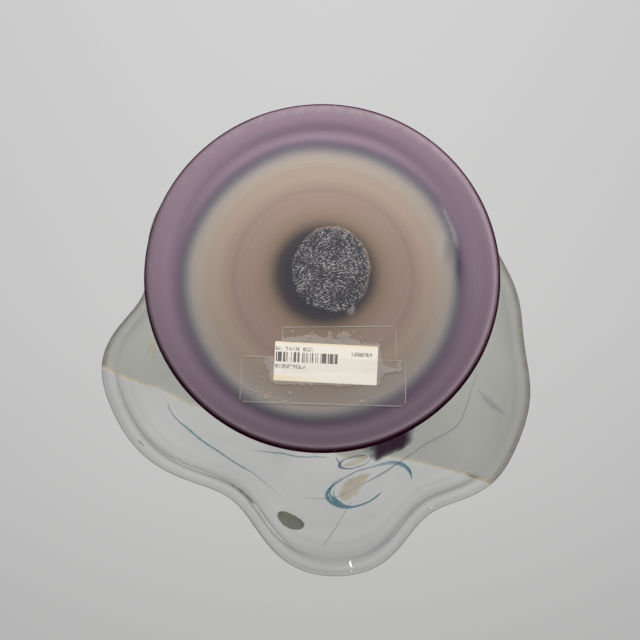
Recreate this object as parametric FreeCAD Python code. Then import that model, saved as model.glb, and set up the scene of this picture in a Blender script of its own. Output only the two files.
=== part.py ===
import FreeCAD, Part
import math
import os

# Hand blown art glass vase, millimetres.
# Origin: centre of the standing ring, on the surface that the foot stands on. +Z up, mouth upwards.

# ---------------------------------------------------------------- driving dimensions
FOOT_R = 74.6            # outside radius of the foot
FOOT_BEAD_R = 3.2        # rounding radius of the foot's edge
RING_IN_R = 68.0         # standing ring, inner radius of the flat
RING_OUT_R = 71.4        # standing ring, outer radius of the flat
RECESS_R = 66.6          # shallow ground recess under the foot
RECESS_Z = 0.8           # its depth
WAIST_R = 46.0           # outside radius of the waist
WAIST_Z = 100.0          # height where the body hands over to the flare
WALL_WAIST = 5.5         # wall at the waist
CASING_T = 1.6           # clear satin casing
PURPLE_T = 2.0           # purple gather
CASING_FLOOR_Z = 4.3     # top of the casing under the foot
PURPLE_FLOOR_Z = 7.3     # top of the purple ring in the foot
PURPLE_HOLE_R = 57.0     # hole in the purple gather, filled by the cream opal
HOLE_AT = (-0.3, 3.6)    # it sits off centre, as blown colour does
CORE_R = 20.5            # dark core
CORE_AT = (1.0, 0.8)
CORE_TOP_Z = 12.0
CAVITY_FLOOR_Z = 18.0    # inside of the vase
WALL_FLARE = 4.2         # wall of the flare
WALL_LIP = 6.0           # wall at the fire-polished lip
LIP_OUT = 3.0            # how far the rounded lip stands outside the sheet's edge
SEAM_W = 1.0             # width of the amber seam
PONTIL_W, PONTIL_L = 33.0, 37.0
PONTIL_X, PONTIL_Y = 3.9, -1.6
TAPE_W = 19.0            # clear tape
LABEL_W, LABEL_H = 42.4, 16.2

# wavy rim: radius and height against azimuth, as a short Fourier series in mm
RIM_R = [135.748, 3.088, -7.137, -3.237, 2.873, -1.713, 0.573, 1.117, -2.679, 0.409,
         7.473, -1.903, -1.743, -1.154, -0.541, 1.128, -0.925, -0.784, -0.255, 0.847,
         -0.073, -0.447, 0.558, -0.31, 0.324, -0.51, -0.032]
RIM_Z = [227.937, 5.345, 0.489, -1.959, 0.813, 4.222, -1.867, -7.954, -0.752, 1.177,
         -2.797, 1.15, 0.057, -0.118, 1.001]
# flare profile, Bezier control points (share of the radius gained, share of the height gained)
FLARE = ((0.0, 0.0), (0.0, 0.45), (0.30, 0.86), (1.0, 1.0))
# seam lines between the two sheets: (share of the way up the flare, azimuth in degrees)
SEAM_R = [(0.0, 105.0), (0.2, 103.5), (0.38, 96.0), (0.525, 81.1), (0.602, 67.3),
          (0.725, 55.35), (0.807, 48.6), (0.882, 43.7), (0.954, 39.9), (1.0, 38.6)]
SEAM_L = [(0.0, 115.0), (0.2, 119.0), (0.38, 127.0), (0.53, 139.0), (0.68, 151.0),
          (0.734, 157.0), (0.777, 160.8), (0.82, 164.4), (0.886, 168.0), (0.93, 170.3), (1.0, 174.0)]

os.makedirs("parts", exist_ok=True)
V = FreeCAD.Vector


# ---------------------------------------------------------------- small maths
def series(c, t):
    s = c[0]
    for k in range(1, (len(c) - 1) // 2 + 1):
        s += c[2 * k - 1] * math.cos(k * t) + c[2 * k] * math.sin(k * t)
    return s


def monotone(pts):
    """Shape-keeping cubic through (x, y) pairs."""
    x = [p[0] for p in pts]
    y = [p[1] for p in pts]
    n = len(x)
    dlt = [(y[i + 1] - y[i]) / (x[i + 1] - x[i]) for i in range(n - 1)]
    m = [dlt[0]] + [0.0] * (n - 2) + [dlt[-1]]
    for i in range(1, n - 1):
        if dlt[i - 1] * dlt[i] > 0:
            w1 = 2 * (x[i + 1] - x[i]) + (x[i] - x[i - 1])
            w2 = (x[i + 1] - x[i]) + 2 * (x[i] - x[i - 1])
            m[i] = (w1 + w2) / (w1 / dlt[i - 1] + w2 / dlt[i])

    def f(q):
        i = 0
        while i < n - 2 and q > x[i + 1]:
            i += 1
        h = x[i + 1] - x[i]
        s = (q - x[i]) / h
        return ((2 * s ** 3 - 3 * s * s + 1) * y[i] + (s ** 3 - 2 * s * s + s) * h * m[i]
                + (-2 * s ** 3 + 3 * s * s) * y[i + 1] + (s ** 3 - s * s) * h * m[i + 1])
    return f


def knots(n, p=3):
    inner = n - p - 1
    k = [0.0] * (p + 1) + [(i + 1.0) / (inner + 1) for i in range(inner)] + [1.0] * (p + 1)
    return k


def greville(n, p=3):
    k = knots(n, p)
    return [sum(k[i + 1:i + 1 + p]) / p for i in range(n)]


def basis(n, t, p=3):
    k = knots(n, p)
    if t >= 1.0:
        return [0.0] * (n - 1) + [1.0]
    N = [1.0 if k[i] <= t < k[i + 1] else 0.0 for i in range(len(k) - 1)]
    for q in range(1, p + 1):
        M = []
        for i in range(len(k) - 1 - q):
            a = (t - k[i]) / (k[i + q] - k[i]) * N[i] if k[i + q] > k[i] else 0.0
            b = (k[i + q + 1] - t) / (k[i + q + 1] - k[i + 1]) * N[i + 1] if k[i + q + 1] > k[i + 1] else 0.0
            M.append(a + b)
        N = M
    return N[:n]


INV = {}


def inverse(n):
    if n in INV:
        return INV[n]
    A = [basis(n, g) + [1.0 if i == j else 0.0 for j in range(n)] for i, g in enumerate(greville(n))]
    for i in range(n):
        piv = A[i][i]
        A[i] = [a / piv for a in A[i]]
        for j in range(max(0, i - 4), n):
            if j != i and abs(A[j][i]) > 1e-15:
                f = A[j][i]
                A[j] = [a - f * b for a, b in zip(A[j], A[i])]
    for i in range(n - 1, -1, -1):
        for j in range(i):
            if abs(A[j][i]) > 1e-15:
                f = A[j][i]
                A[j] = [a - f * b for a, b in zip(A[j], A[i])]
    INV[n] = [row[n:] for row in A]
    return INV[n]


def fit_row(pts):
    """Poles of the cubic spline through points given at the Greville parameters."""
    M = inverse(len(pts))
    out = []
    for row in M:
        x = y = z = 0.0
        for a, p in zip(row, pts):
            if a:
                x += a * p.x
                y += a * p.y
                z += a * p.z
        out.append(V(x, y, z))
    return out


def fit_grid(grid):
    """grid[u][v] of points to poles, both ways."""
    cols = [fit_row(r) for r in grid]
    nv = len(cols[0])
    by_v = [fit_row([cols[i][j] for i in range(len(cols))]) for j in range(nv)]
    return [[by_v[j][i] for j in range(nv)] for i in range(len(cols))]


def face(poles, pu=3, pv=3):
    nu, nv = len(poles), len(poles[0])

    def km(n, p):
        k = knots(n, p)
        u = sorted(set(k))
        return u, [k.count(a) for a in u]
    ku, mu = km(nu, pu)
    kv, mv = km(nv, pv)
    s = Part.BSplineSurface()
    s.buildFromPolesMultsKnots(poles, mu, mv, ku, kv, False, False, pu, pv)
    return s.toShape()


def closed(faces, tol=0.002):
    sh = Part.Shell(faces)
    sh.sewShape()
    if sh.ShapeType == "Compound":
        sh = sh.Shells[0]
    so = Part.Solid(sh)
    if so.Volume < 0:
        so.reverse()
    if not so.isValid():
        so.fix(tol, tol, tol)
    return so


# ---------------------------------------------------------------- the flare's sheet
def share(v):
    b, c, e = 3 * (1 - v) ** 2 * v, 3 * (1 - v) * v * v, v ** 3
    return (b * FLARE[1][0] + c * FLARE[2][0] + e, b * FLARE[1][1] + c * FLARE[2][1] + e)


def S(t, v):
    F, G = share(v)
    r = WAIST_R + (series(RIM_R, t) - LIP_OUT - WAIST_R) * F
    return V(r * math.cos(t), r * math.sin(t), WAIST_Z + (series(RIM_Z, t) - WAIST_Z) * G)


def normal(t, v):
    """Unit normal, outwards and down."""
    h = 1e-4
    v0 = max(0.0, v - h)
    a = S(t + h, v) - S(t - h, v)
    b = S(t, v + h) - S(t, v0)
    n = a.cross(b)
    return n.normalize()


def wall(v):
    if v < 0.5:
        k = v / 0.5
        k = k * k * (3 - 2 * k)
        return WALL_WAIST + (WALL_FLARE - WALL_WAIST) * k
    if v < 0.9:
        return WALL_FLARE
    k = (v - 0.9) / 0.1
    return WALL_FLARE + (WALL_LIP - WALL_FLARE) * k * k * (3 - 2 * k)


def outer(t, v, lift=0.0):
    return S(t, v) + normal(t, v) * lift


def inner(t, v, lift=0.0):
    return S(t, v) - normal(t, v) * (wall(v) + lift)


V_SHARES = greville(16)


def sheet(t0, t1, nu):
    """One full-thickness piece of the flare between two azimuth functions of v."""
    us = greville(nu)

    def ang(u, v):
        a, b = math.radians(t0(v)), math.radians(t1(v))
        return a + (b - a) * u
    go = [[outer(ang(u, v), v) for v in V_SHARES] for u in us]
    gi = [[inner(ang(u, v), v) for v in V_SHARES] for u in us]
    po, pi_ = fit_grid(go), fit_grid(gi)
    bo, bi = [], []
    for u in us:
        t = ang(u, 1.0)
        o, i = outer(t, 1.0), inner(t, 1.0)
        d = S(t, 1.0) - S(t, 0.995)
        d.normalize()
        k = LIP_OUT * 4.0 / 3.0
        bo.append(o + d * k)
        bi.append(i + d * k)
    bo, bi = fit_row(bo), fit_row(bi)
    lip = [[po[i][-1], bo[i], bi[i], pi_[i][-1]] for i in range(nu)]
    neck = [[po[i][0], pi_[i][0]] for i in range(nu)]

    def side(i):
        rows = []
        n = len(V_SHARES)
        for j in range(n):
            o, q = po[i][j], pi_[i][j]
            if j == n - 1:
                rows.append([o, bo[i], bi[i], q])
            else:
                rows.append([o, o * (2 / 3.0) + q * (1 / 3.0), o * (1 / 3.0) + q * (2 / 3.0), q])
        return rows
    fs = [face(po), face(pi_), face(lip), face(neck, 3, 1), face(side(0)), face(side(nu - 1))]
    return closed(fs)


sr, sl = monotone(SEAM_R), monotone(SEAM_L)


def half_w(v):
    """Seam width in degrees at v."""
    r = WAIST_R + (135.0 - WAIST_R) * share(v)[0]
    return math.degrees(SEAM_W / r)


flare_clear = sheet(lambda v: sr(v) + half_w(v), lambda v: sl(v) - half_w(v), 34)
flare_grey = sheet(lambda v: sl(v), lambda v: sr(v) + 360.0, 54)
seam_r = sheet(lambda v: sr(v), lambda v: sr(v) + half_w(v), 4)
seam_l = sheet(lambda v: sl(v) - half_w(v), lambda v: sl(v), 4)


# ---------------------------------------------------------------- threads and bits fused on the sheet
def local(t, v, side, dx, dy):
    """(t, v) moved by dx mm along dS/dt and dy mm along dS/dv, kept on the sheet."""
    h = 1e-4
    a = (S(t + h, v) - S(t - h, v)) * (0.5 / h)
    b = (S(t, v + h) - S(t, v - h)) * (0.5 / h)
    return t + dx / a.Length, v + dy / b.Length


def smooth_path(pts, n, closed_loop=False):
    """n points at even arc length along a centripetal Catmull-Rom through (deg, v) pairs."""
    P = [(math.radians(a), b) for a, b in pts]
    ext = [(2 * P[0][0] - P[1][0], 2 * P[0][1] - P[1][1])] + P + [(2 * P[-1][0] - P[-2][0], 2 * P[-1][1] - P[-2][1])]
    dense = []
    for i in range(1, len(ext) - 2):
        p0, p1, p2, p3 = ext[i - 1], ext[i], ext[i + 1], ext[i + 2]
        for k in range(24):
            s = k / 24.0
            q = []
            for c in (0, 1):
                q.append(0.5 * (2 * p1[c] + (p2[c] - p0[c]) * s + (2 * p0[c] - 5 * p1[c] + 4 * p2[c] - p3[c]) * s * s
                                + (-p0[c] + 3 * p1[c] - 3 * p2[c] + p3[c]) * s ** 3))
            dense.append(tuple(q))
    dense.append(P[-1])
    L = [0.0]
    X = [S(*q) for q in dense]
    for i in range(1, len(X)):
        L.append(L[-1] + (X[i] - X[i - 1]).Length)
    out = []
    for g in greville(n):
        want = g * L[-1]
        i = 1
        while i < len(L) - 1 and L[i] < want:
            i += 1
        s = (want - L[i - 1]) / max(1e-9, L[i] - L[i - 1])
        out.append((dense[i - 1][0] + s * (dense[i][0] - dense[i - 1][0]),
                    dense[i - 1][1] + s * (dense[i][1] - dense[i - 1][1])))
    return out, L[-1]


def bit(pts, width, height, inside=False, end=0.35, n=None, oval=False):
    """A glass thread or bit melted onto the sheet: two faces that share their four edges.
    width is a number or a list of (share of length, half width)."""
    _, length = smooth_path(pts, 5)
    if n is None:
        n = int(min(60, max(9, length / 3.0)))
    path, length = smooth_path(pts, n)
    g = greville(n)
    if isinstance(width, (int, float)):
        wf = lambda s: width
    else:
        wf = monotone(width)
    nx = 7
    gx = [2 * q - 1 for q in greville(nx)]
    low, top = [], []
    for k, (t, v) in enumerate(path):
        s = g[k]
        if oval:
            w = wf(s) * max(end, math.sqrt(max(0.0, 1 - (2 * s - 1) ** 2)))
        else:
            w = wf(s) * (end + (1 - end) * min(1.0, (1 - abs(2 * s - 1)) * max(2.0, length / 9.0)))
        # direction along the path in the sheet's own mm frame
        k0, k1 = max(0, k - 1), min(n - 1, k + 1)
        d = S(*path[k1]) - S(*path[k0])
        h = 1e-4
        a = S(t + h, v) - S(t - h, v)
        b = S(t, v + h) - S(t, v - h)
        a.normalize()
        b.normalize()
        nn = normal(t, v)
        lat = nn.cross(d)
        lat.normalize()
        ab = a.dot(b)
        la, lb = lat.dot(a), lat.dot(b)
        ca, cb = (la - lb * ab) / (1 - ab * ab), (lb - la * ab) / (1 - ab * ab)
        hs = height * math.sqrt(max(0.0, min(1.0, 1 - (2 * s - 1) ** 8)))
        rl, rt = [], []
        for x in gx:
            tt, vv = local(t, v, inside, ca * w * x, cb * w * x)
            vv = min(vv, 0.997)
            base = inner(tt, vv) if inside else outer(tt, vv)
            up = normal(tt, vv) * (-1 if inside else 1)
            lift = 0.0 if (k in (0, n - 1) or abs(x) > 0.9999) else hs * (1 - x * x)
            rl.append(base)
            rt.append(base + up * lift)
        low.append(rl)
        top.append(rt)
    return closed([face(fit_grid(low)), face(fit_grid(top))])


blue_thread_left = bit([(159.1, 0.7986), (155.7, 0.8092), (151.1, 0.8055), (146.5, 0.7982), (136.2, 0.8108),
                        (124.4, 0.839), (112.2, 0.8153), (101.1, 0.7884)],
                       [(0, 0.45), (0.3, 0.75), (0.7, 0.6), (1, 0.35)], 0.7)
blue_thread_waist = bit([(125.0, 0.735), (121.8, 0.711), (114.0, 0.645), (107.4, 0.5893), (94.3, 0.5333), (86.5, 0.528)],
                        [(0, 0.4), (0.5, 0.7), (1, 0.5)], 0.7)
blue_thread_right = bit([(6.7, 0.7961), (16.95, 0.7766), (29.3, 0.7741), (39.3, 0.7422), (48.1, 0.7395), (55.5, 0.7492),
                         (60.2, 0.7417), (66.7, 0.7261), (75.7, 0.717), (83.1, 0.7299), (89.0, 0.7415), (93.3, 0.7489),
                         (98.1, 0.7508)], [(0, 0.4), (0.4, 0.8), (0.6, 0.7), (1, 0.35)], 0.6, inside=True)
smoky_streak = bit([(15.7, 0.7999), (18.2, 0.8637), (20.3, 0.9484)], [(0, 1.6), (0.5, 3.2), (1, 2.0)], 0.4, inside=True)
fine_dark_thread = bit([(77.4, 0.752), (79.6, 0.7701), (82.6, 0.8128), (86.1, 0.866), (89.8, 0.9228)], 0.45, 0.5, inside=True)
blue_swirl_large = bit([(55.9, 0.8452), (55.6, 0.8021), (58.2, 0.7317), (62.3, 0.6859), (69.0, 0.64), (77.3, 0.6224),
                        (84.4, 0.6514), (88.7, 0.693), (89.0, 0.7199), (86.5, 0.749), (82.1, 0.7674), (77.8, 0.7776),
                        (73.0, 0.7781), (68.0, 0.7882)],
                       [(0, 0.9), (0.08, 1.6), (0.2, 1.5), (0.35, 0.8), (0.5, 0.8), (0.62, 2.2), (0.72, 1.9), (0.85, 1.0), (1, 0.8)],
                       0.9, n=60)
blue_loop_small = bit([(82.1, 0.5787), (81.0, 0.5591), (77.0, 0.5478), (70.7, 0.5664), (67.6, 0.5937), (68.7, 0.6113),
                       (73.3, 0.6098), (77.9, 0.6047), (80.7, 0.596)], 0.55, 0.6, n=40)
peach_patch_large = bit([(83.6, 0.7163), (80.5, 0.6949), (77.0, 0.6781), (72.0, 0.6735)],
                        [(0, 4.6), (0.4, 5.0), (1, 3.0)], 0.5, end=0.3, oval=True, n=13)
peach_patch_small = bit([(79.3, 0.5831), (76.1, 0.5799), (71.6, 0.588)], 1.5, 0.4, oval=True, n=9)
peach_fleck_left = bit([(181.0, 0.825), (174.4, 0.8108)], [(0, 2.0), (1, 3.4)], 0.5, end=0.5, oval=True, n=9)
olive_dot = bit([(104.6, 0.8781), (99.9, 0.8640), (95.4, 0.8561)], 5.3, 1.2, end=0.25, oval=True, n=15)
olive_streak = bit([(125.9, 0.9527), (120.7, 0.9489), (116.5, 0.9462), (112.9, 0.941)],
                   [(0, 0.5), (0.6, 1.7), (0.93, 1.5), (1, 0.7)], 0.8, n=17)
dark_dash = bit([(152.8, 0.985), (150.6, 0.983)], 0.7, 0.5, oval=True, n=9)
purple_flame = bit([(66.0, 0.02), (61.0, 0.25), (57.0, 0.45), (56.5, 0.6), (57.5, 0.675)],
                   [(0, 18.0), (0.5, 15.0), (0.85, 12.5), (1, 10.5)], 1.2, end=0.62, n=21)


# ---------------------------------------------------------------- foot and body
BEAD_Z = FOOT_BEAD_R + 0.5
SLOPE_R = FOOT_R - FOOT_BEAD_R + FOOT_BEAD_R * math.sqrt(0.5)
SLOPE_Z = BEAD_Z + FOOT_BEAD_R * math.sqrt(0.5)
GAIN = SLOPE_R - WAIST_R
POWER = (WAIST_Z - SLOPE_Z) / GAIN


def body_r(z):
    s = (z - SLOPE_Z) / (WAIST_Z - SLOPE_Z)
    return WAIST_R + GAIN * max(0.0, 1 - s) ** POWER


def body_off(z, off):
    """Point of the body's outside at height z, moved inwards by off along the normal."""
    h = 0.01
    dr = (body_r(min(z + h, WAIST_Z)) - body_r(z - h)) / (min(z + h, WAIST_Z) - z + h)
    L = math.hypot(1.0, dr)
    return body_r(z) - off / L, z + off * dr / L


def upper_curve(off, z0=None, n=14):
    z0 = SLOPE_Z if z0 is None else z0
    pts = []
    for i in range(n + 1):
        z = z0 + (WAIST_Z - z0) * (i / float(n)) ** 1.25
        r, q = body_off(z, off)
        if i == n:
            r, q = WAIST_R - off, WAIST_Z
        pts.append(V(r, 0, q))
    c = Part.BSplineCurve()
    c.interpolate(Points=pts)
    return c.toShape(), pts[0], pts[-1]


def line(a, b):
    return Part.LineSegment(V(*a), V(*b)).toShape()


def turn(edges):
    w = Part.Wire(Part.__sortEdges__(edges))
    so = Part.Face(w).revolve(V(0, 0, 0), V(0, 0, 1), 360)
    if so.ShapeType != "Solid":
        so = Part.Solid(so.Shells[0])
    if so.Volume < 0:
        so.reverse()
    return so


# outside of the casing
c0, a0, b0 = upper_curve(0.0)
bead_c = (FOOT_R - FOOT_BEAD_R, BEAD_Z)
bead = Part.Arc(V(RING_OUT_R, 0, 0.0), V(bead_c[0] + FOOT_BEAD_R * math.cos(math.radians(-35)), 0,
                                          bead_c[1] + FOOT_BEAD_R * math.sin(math.radians(-35))),
                V(a0.x, 0, a0.z)).toShape()
# casing / purple surface
c1, a1, b1 = upper_curve(CASING_T, 7.4)
in_arc1 = Part.Arc(V(67.5, 0, CASING_FLOOR_Z), V(70.1, 0, 4.95), V(a1.x, 0, a1.z)).toShape()
# purple / opal surface
c2, a2, b2 = upper_curve(CASING_T + PURPLE_T, 10.5)

base_casing = turn([
    line((0, 0, RECESS_Z), (RECESS_R, 0, RECESS_Z)),
    line((RECESS_R, 0, RECESS_Z), (RING_IN_R, 0, 0)),
    line((RING_IN_R, 0, 0), (RING_OUT_R, 0, 0)),
    bead, c0,
    line((b0.x, 0, b0.z), (b1.x, 0, b1.z)), c1,
    in_arc1,
    line((67.5, 0, CASING_FLOOR_Z), (0, 0, CASING_FLOOR_Z)),
    line((0, 0, CASING_FLOOR_Z), (0, 0, RECESS_Z)),
])

purple_whole = turn([
    line((0, 0, CASING_FLOOR_Z), (67.5, 0, CASING_FLOOR_Z)), in_arc1, c1,
    line((b1.x, 0, b1.z), (b2.x, 0, b2.z)), c2,
    line((a2.x, 0, a2.z), (66.0, 0, PURPLE_FLOOR_Z)),
    line((66.0, 0, PURPLE_FLOOR_Z), (0, 0, PURPLE_FLOOR_Z)),
    line((0, 0, PURPLE_FLOOR_Z), (0, 0, CASING_FLOOR_Z)),
])
hole = Part.makeCylinder(PURPLE_HOLE_R, PURPLE_FLOOR_Z - CASING_FLOOR_Z, V(HOLE_AT[0], HOLE_AT[1], CASING_FLOOR_Z))
purple_gather = purple_whole.cut(hole)

# inside of the vase
cav = [(0.0, CAVITY_FLOOR_Z), (14.0, CAVITY_FLOOR_Z + 0.2), (28.0, CAVITY_FLOOR_Z + 1.2), (38.0, CAVITY_FLOOR_Z + 3.6),
       (45.0, CAVITY_FLOOR_Z + 8.6)]
for z in (33.0, 40.0, 48.0, 57.0, 67.0, 78.0, 89.0):
    cav.append((body_r(z) - WALL_WAIST - 10.5 * math.exp(-(z - 20.0) / 10.0) - 0.5 * math.exp(-(z - 40.0) / 8.0) * 0.2, z))
cav.append((WAIST_R - WALL_WAIST, WAIST_Z))
cc = Part.BSplineCurve()
cc.interpolate(Points=[V(r, 0, z) for r, z in cav], InitialTangent=V(1, 0, 0), FinalTangent=V(0, 0, 1))
cream = turn([
    line((0, 0, PURPLE_FLOOR_Z), (66.0, 0, PURPLE_FLOOR_Z)),
    line((66.0, 0, PURPLE_FLOOR_Z), (a2.x, 0, a2.z)), c2,
    line((b2.x, 0, b2.z), (WAIST_R - WALL_WAIST, 0, WAIST_Z)),
    cc.toShape(),
    line((0, 0, CAVITY_FLOOR_Z), (0, 0, PURPLE_FLOOR_Z)),
]).fuse(hole)
core_tool = Part.makeCylinder(CORE_R, CORE_TOP_Z - CASING_FLOOR_Z, V(CORE_AT[0], CORE_AT[1], CASING_FLOOR_Z))
core_tool = core_tool.makeFillet(3.0, [e for e in core_tool.Edges
                                       if e.BoundBox.ZMin > CORE_TOP_Z - 0.01 and e.BoundBox.XLength > 1])
dark_core = core_tool
cream_opal_lining = cream.cut(core_tool)


# ---------------------------------------------------------------- pontil scar, label and tape under the foot
def egg(z, h, grow=0.0):
    pts = []
    n = 20
    for i in range(n):
        a = 2 * math.pi * i / n
        y = math.cos(a)
        w = (PONTIL_W / 2 + grow) * (1.0 + 0.06 * y + 0.015 * math.sin(3 * a + 0.6))
        pts.append(V(PONTIL_X + w * math.sin(a), PONTIL_Y + (PONTIL_L / 2 + grow) * y, z))
    c = Part.BSplineCurve()
    c.interpolate(Points=pts, PeriodicFlag=True)
    return Part.Face(Part.Wire(c.toShape())).extrude(V(0, 0, h))


pontil_scar = egg(RECESS_Z - 0.35, 1.6)
base_casing = base_casing.cut(egg(RECESS_Z - 0.35, 1.6))


def plate(cx, cy, w, h, ang, z0, z1, round_r=0.4):
    b = Part.makeBox(w, h, z1 - z0, V(-w / 2, -h / 2, z0))
    es = [e for e in b.Edges if e.BoundBox.ZLength > (z1 - z0) * 0.9]
    b = b.makeFillet(round_r, es)
    b.rotate(V(0, 0, 0), V(0, 0, 1), ang)
    b.translate(V(cx, cy, 0))
    return b


LABEL_AT, TAPE_A_AT, TAPE_B_AT = (1.5, 38.1, 2.9), (7.1, 32.3, -0.5), (0.4, 45.5, 1.7)
T1, T2, T3 = RECESS_Z - 0.15, RECESS_Z - 0.27, RECESS_Z - 0.39
price_label = plate(LABEL_AT[0], LABEL_AT[1], LABEL_W, LABEL_H, LABEL_AT[2], T1, RECESS_Z, 0.3)
ta = plate(TAPE_A_AT[0], TAPE_A_AT[1], 47.0, TAPE_W, TAPE_A_AT[2], T2, RECESS_Z, 0.5)
tb = plate(TAPE_B_AT[0], TAPE_B_AT[1], 67.6, TAPE_W, TAPE_B_AT[2], T3, RECESS_Z, 2.0)
tape_strip_upper = ta.cut(price_label)
tape_strip_lower = tb.cut(price_label).cut(ta)
if tape_strip_lower.ShapeType == "Compound" and len(tape_strip_lower.Solids) == 1:
    tape_strip_lower = tape_strip_lower.Solids[0]

nodes = {
    "base_casing": base_casing, "purple_gather": purple_gather, "cream_opal_lining": cream_opal_lining,
    "dark_core": dark_core, "pontil_scar": pontil_scar, "flare_grey": flare_grey, "flare_clear": flare_clear,
    "amber_seam_left": seam_l, "amber_seam_right": seam_r, "purple_flame": purple_flame,
    "blue_thread_left": blue_thread_left, "blue_thread_waist": blue_thread_waist,
    "blue_thread_right": blue_thread_right, "blue_swirl_large": blue_swirl_large,
    "blue_loop_small": blue_loop_small, "peach_patch_large": peach_patch_large,
    "peach_patch_small": peach_patch_small, "peach_fleck_left": peach_fleck_left, "olive_dot": olive_dot,
    "olive_streak": olive_streak, "dark_dash": dark_dash, "fine_dark_thread": fine_dark_thread,
    "smoky_streak": smoky_streak, "price_label": price_label, "tape_strip_upper": tape_strip_upper,
    "tape_strip_lower": tape_strip_lower,
}
for name in sorted(nodes):
    s = nodes[name]
    if s.ShapeType == "Compound" and len(s.Solids) == 1:
        s = s.Solids[0]
    b = s.BoundBox
    print("%-20s %-8s valid=%s solids=%d vol=%.1f x %.1f..%.1f y %.1f..%.1f z %.2f..%.2f" % (
        name, s.ShapeType, s.isValid(), len(s.Solids), s.Volume, b.XMin, b.XMax, b.YMin, b.YMax, b.ZMin, b.ZMax))
    s.exportStep("parts/%s.step" % name)
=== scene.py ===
import math
import bmesh
import bpy
import numpy as np
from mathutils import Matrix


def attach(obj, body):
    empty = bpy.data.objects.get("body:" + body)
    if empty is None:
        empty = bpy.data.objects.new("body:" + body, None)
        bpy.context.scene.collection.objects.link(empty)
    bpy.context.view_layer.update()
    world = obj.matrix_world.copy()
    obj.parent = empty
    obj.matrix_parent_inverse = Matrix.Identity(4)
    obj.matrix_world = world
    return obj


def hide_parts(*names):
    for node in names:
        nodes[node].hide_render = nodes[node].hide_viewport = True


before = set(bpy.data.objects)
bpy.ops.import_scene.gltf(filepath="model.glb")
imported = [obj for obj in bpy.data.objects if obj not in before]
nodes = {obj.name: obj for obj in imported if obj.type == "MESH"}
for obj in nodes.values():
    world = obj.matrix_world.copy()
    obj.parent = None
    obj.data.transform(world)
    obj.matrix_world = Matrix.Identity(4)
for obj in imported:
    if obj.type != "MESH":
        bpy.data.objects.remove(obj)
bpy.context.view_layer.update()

MM = 0.001
rng = np.random.default_rng(11)

# ------------------------------------------------------------------ the vase's own dimensions, as in the CAD
FOOT_R, BEAD_R, RING_IN, RING_OUT, RECESS_R, RECESS_Z = 74.6, 3.2, 68.0, 71.4, 66.6, 0.8
WAIST_R, WAIST_Z, WALL_WAIST, WALL_FLARE, WALL_LIP, LIP_OUT = 46.0, 100.0, 5.5, 4.2, 6.0, 3.0
CASING_T, CASING_FLOOR = 1.6, 4.3
RIM_R = [135.748, 3.088, -7.137, -3.237, 2.873, -1.713, 0.573, 1.117, -2.679, 0.409,
         7.473, -1.903, -1.743, -1.154, -0.541, 1.128, -0.925, -0.784, -0.255, 0.847,
         -0.073, -0.447, 0.558, -0.31, 0.324, -0.51, -0.032]
RIM_Z = [227.937, 5.345, 0.489, -1.959, 0.813, 4.222, -1.867, -7.954, -0.752, 1.177,
         -2.797, 1.15, 0.057, -0.118, 1.001]
SEAM_R = [(0.0, 105.0), (0.2, 103.5), (0.38, 96.0), (0.525, 81.1), (0.602, 67.3),
          (0.725, 55.35), (0.807, 48.6), (0.882, 43.7), (0.954, 39.9), (1.0, 38.6)]
SEAM_L = [(0.0, 115.0), (0.2, 119.0), (0.38, 127.0), (0.53, 139.0), (0.68, 151.0),
          (0.734, 157.0), (0.777, 160.8), (0.82, 164.4), (0.886, 168.0), (0.93, 170.3), (1.0, 174.0)]


# ------------------------------------------------------------------ maths
def series(c, t):
    s = c[0] + 0.0 * t
    for k in range(1, (len(c) - 1) // 2 + 1):
        s = s + c[2 * k - 1] * np.cos(k * t) + c[2 * k] * np.sin(k * t)
    return s


def monotone(pts):
    x = np.array([p[0] for p in pts], float)
    y = np.array([p[1] for p in pts], float)
    d = np.diff(y) / np.diff(x)
    m = np.zeros(len(x))
    m[0], m[-1] = d[0], d[-1]
    for i in range(1, len(x) - 1):
        if d[i - 1] * d[i] > 0:
            w1 = 2 * (x[i + 1] - x[i]) + (x[i] - x[i - 1])
            w2 = (x[i + 1] - x[i]) + 2 * (x[i] - x[i - 1])
            m[i] = (w1 + w2) / (w1 / d[i - 1] + w2 / d[i])

    def f(q):
        q = np.asarray(q, float)
        i = np.clip(np.searchsorted(x, q, side="right") - 1, 0, len(x) - 2)
        h = x[i + 1] - x[i]
        s = np.clip((q - x[i]) / h, 0.0, 1.0)
        return ((2 * s ** 3 - 3 * s * s + 1) * y[i] + (s ** 3 - 2 * s * s + s) * h * m[i]
                + (-2 * s ** 3 + 3 * s * s) * y[i + 1] + (s ** 3 - s * s) * h * m[i + 1])
    return f


def smooth(a, b, x):
    k = np.clip((np.asarray(x, float) - a) / (b - a), 0.0, 1.0)
    return k * k * (3 - 2 * k)


def lumps(x, y, seed, scale, octaves=3):
    """Smooth repeatable noise in about -1..1 from a few rotated sines."""
    g = np.random.default_rng(seed)
    out = 0.0 * (x + y)
    amp = 1.0
    tot = 0.0
    for o in range(octaves):
        for k in range(4):
            a, p = g.uniform(0, 2 * math.pi), g.uniform(0, 2 * math.pi)
            f = g.uniform(0.7, 1.4) * scale * (2 ** o)
            out = out + amp * np.sin(f * (x * math.cos(a) + y * math.sin(a)) + p)
        tot += amp * 1.6
        amp *= 0.5
    return out / tot


def S(t, v):
    b, c, e = 3 * (1 - v) ** 2 * v, 3 * (1 - v) * v * v, v ** 3
    F, G = c * 0.30 + e, b * 0.45 + c * 0.86 + e
    r = WAIST_R + (series(RIM_R, t) - LIP_OUT - WAIST_R) * F
    z = WAIST_Z + (series(RIM_Z, t) - WAIST_Z) * G
    return np.stack([r * np.cos(t), r * np.sin(t), z], -1)


def unit(a):
    return a / np.maximum(np.linalg.norm(a, axis=-1, keepdims=True), 1e-12)


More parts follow.
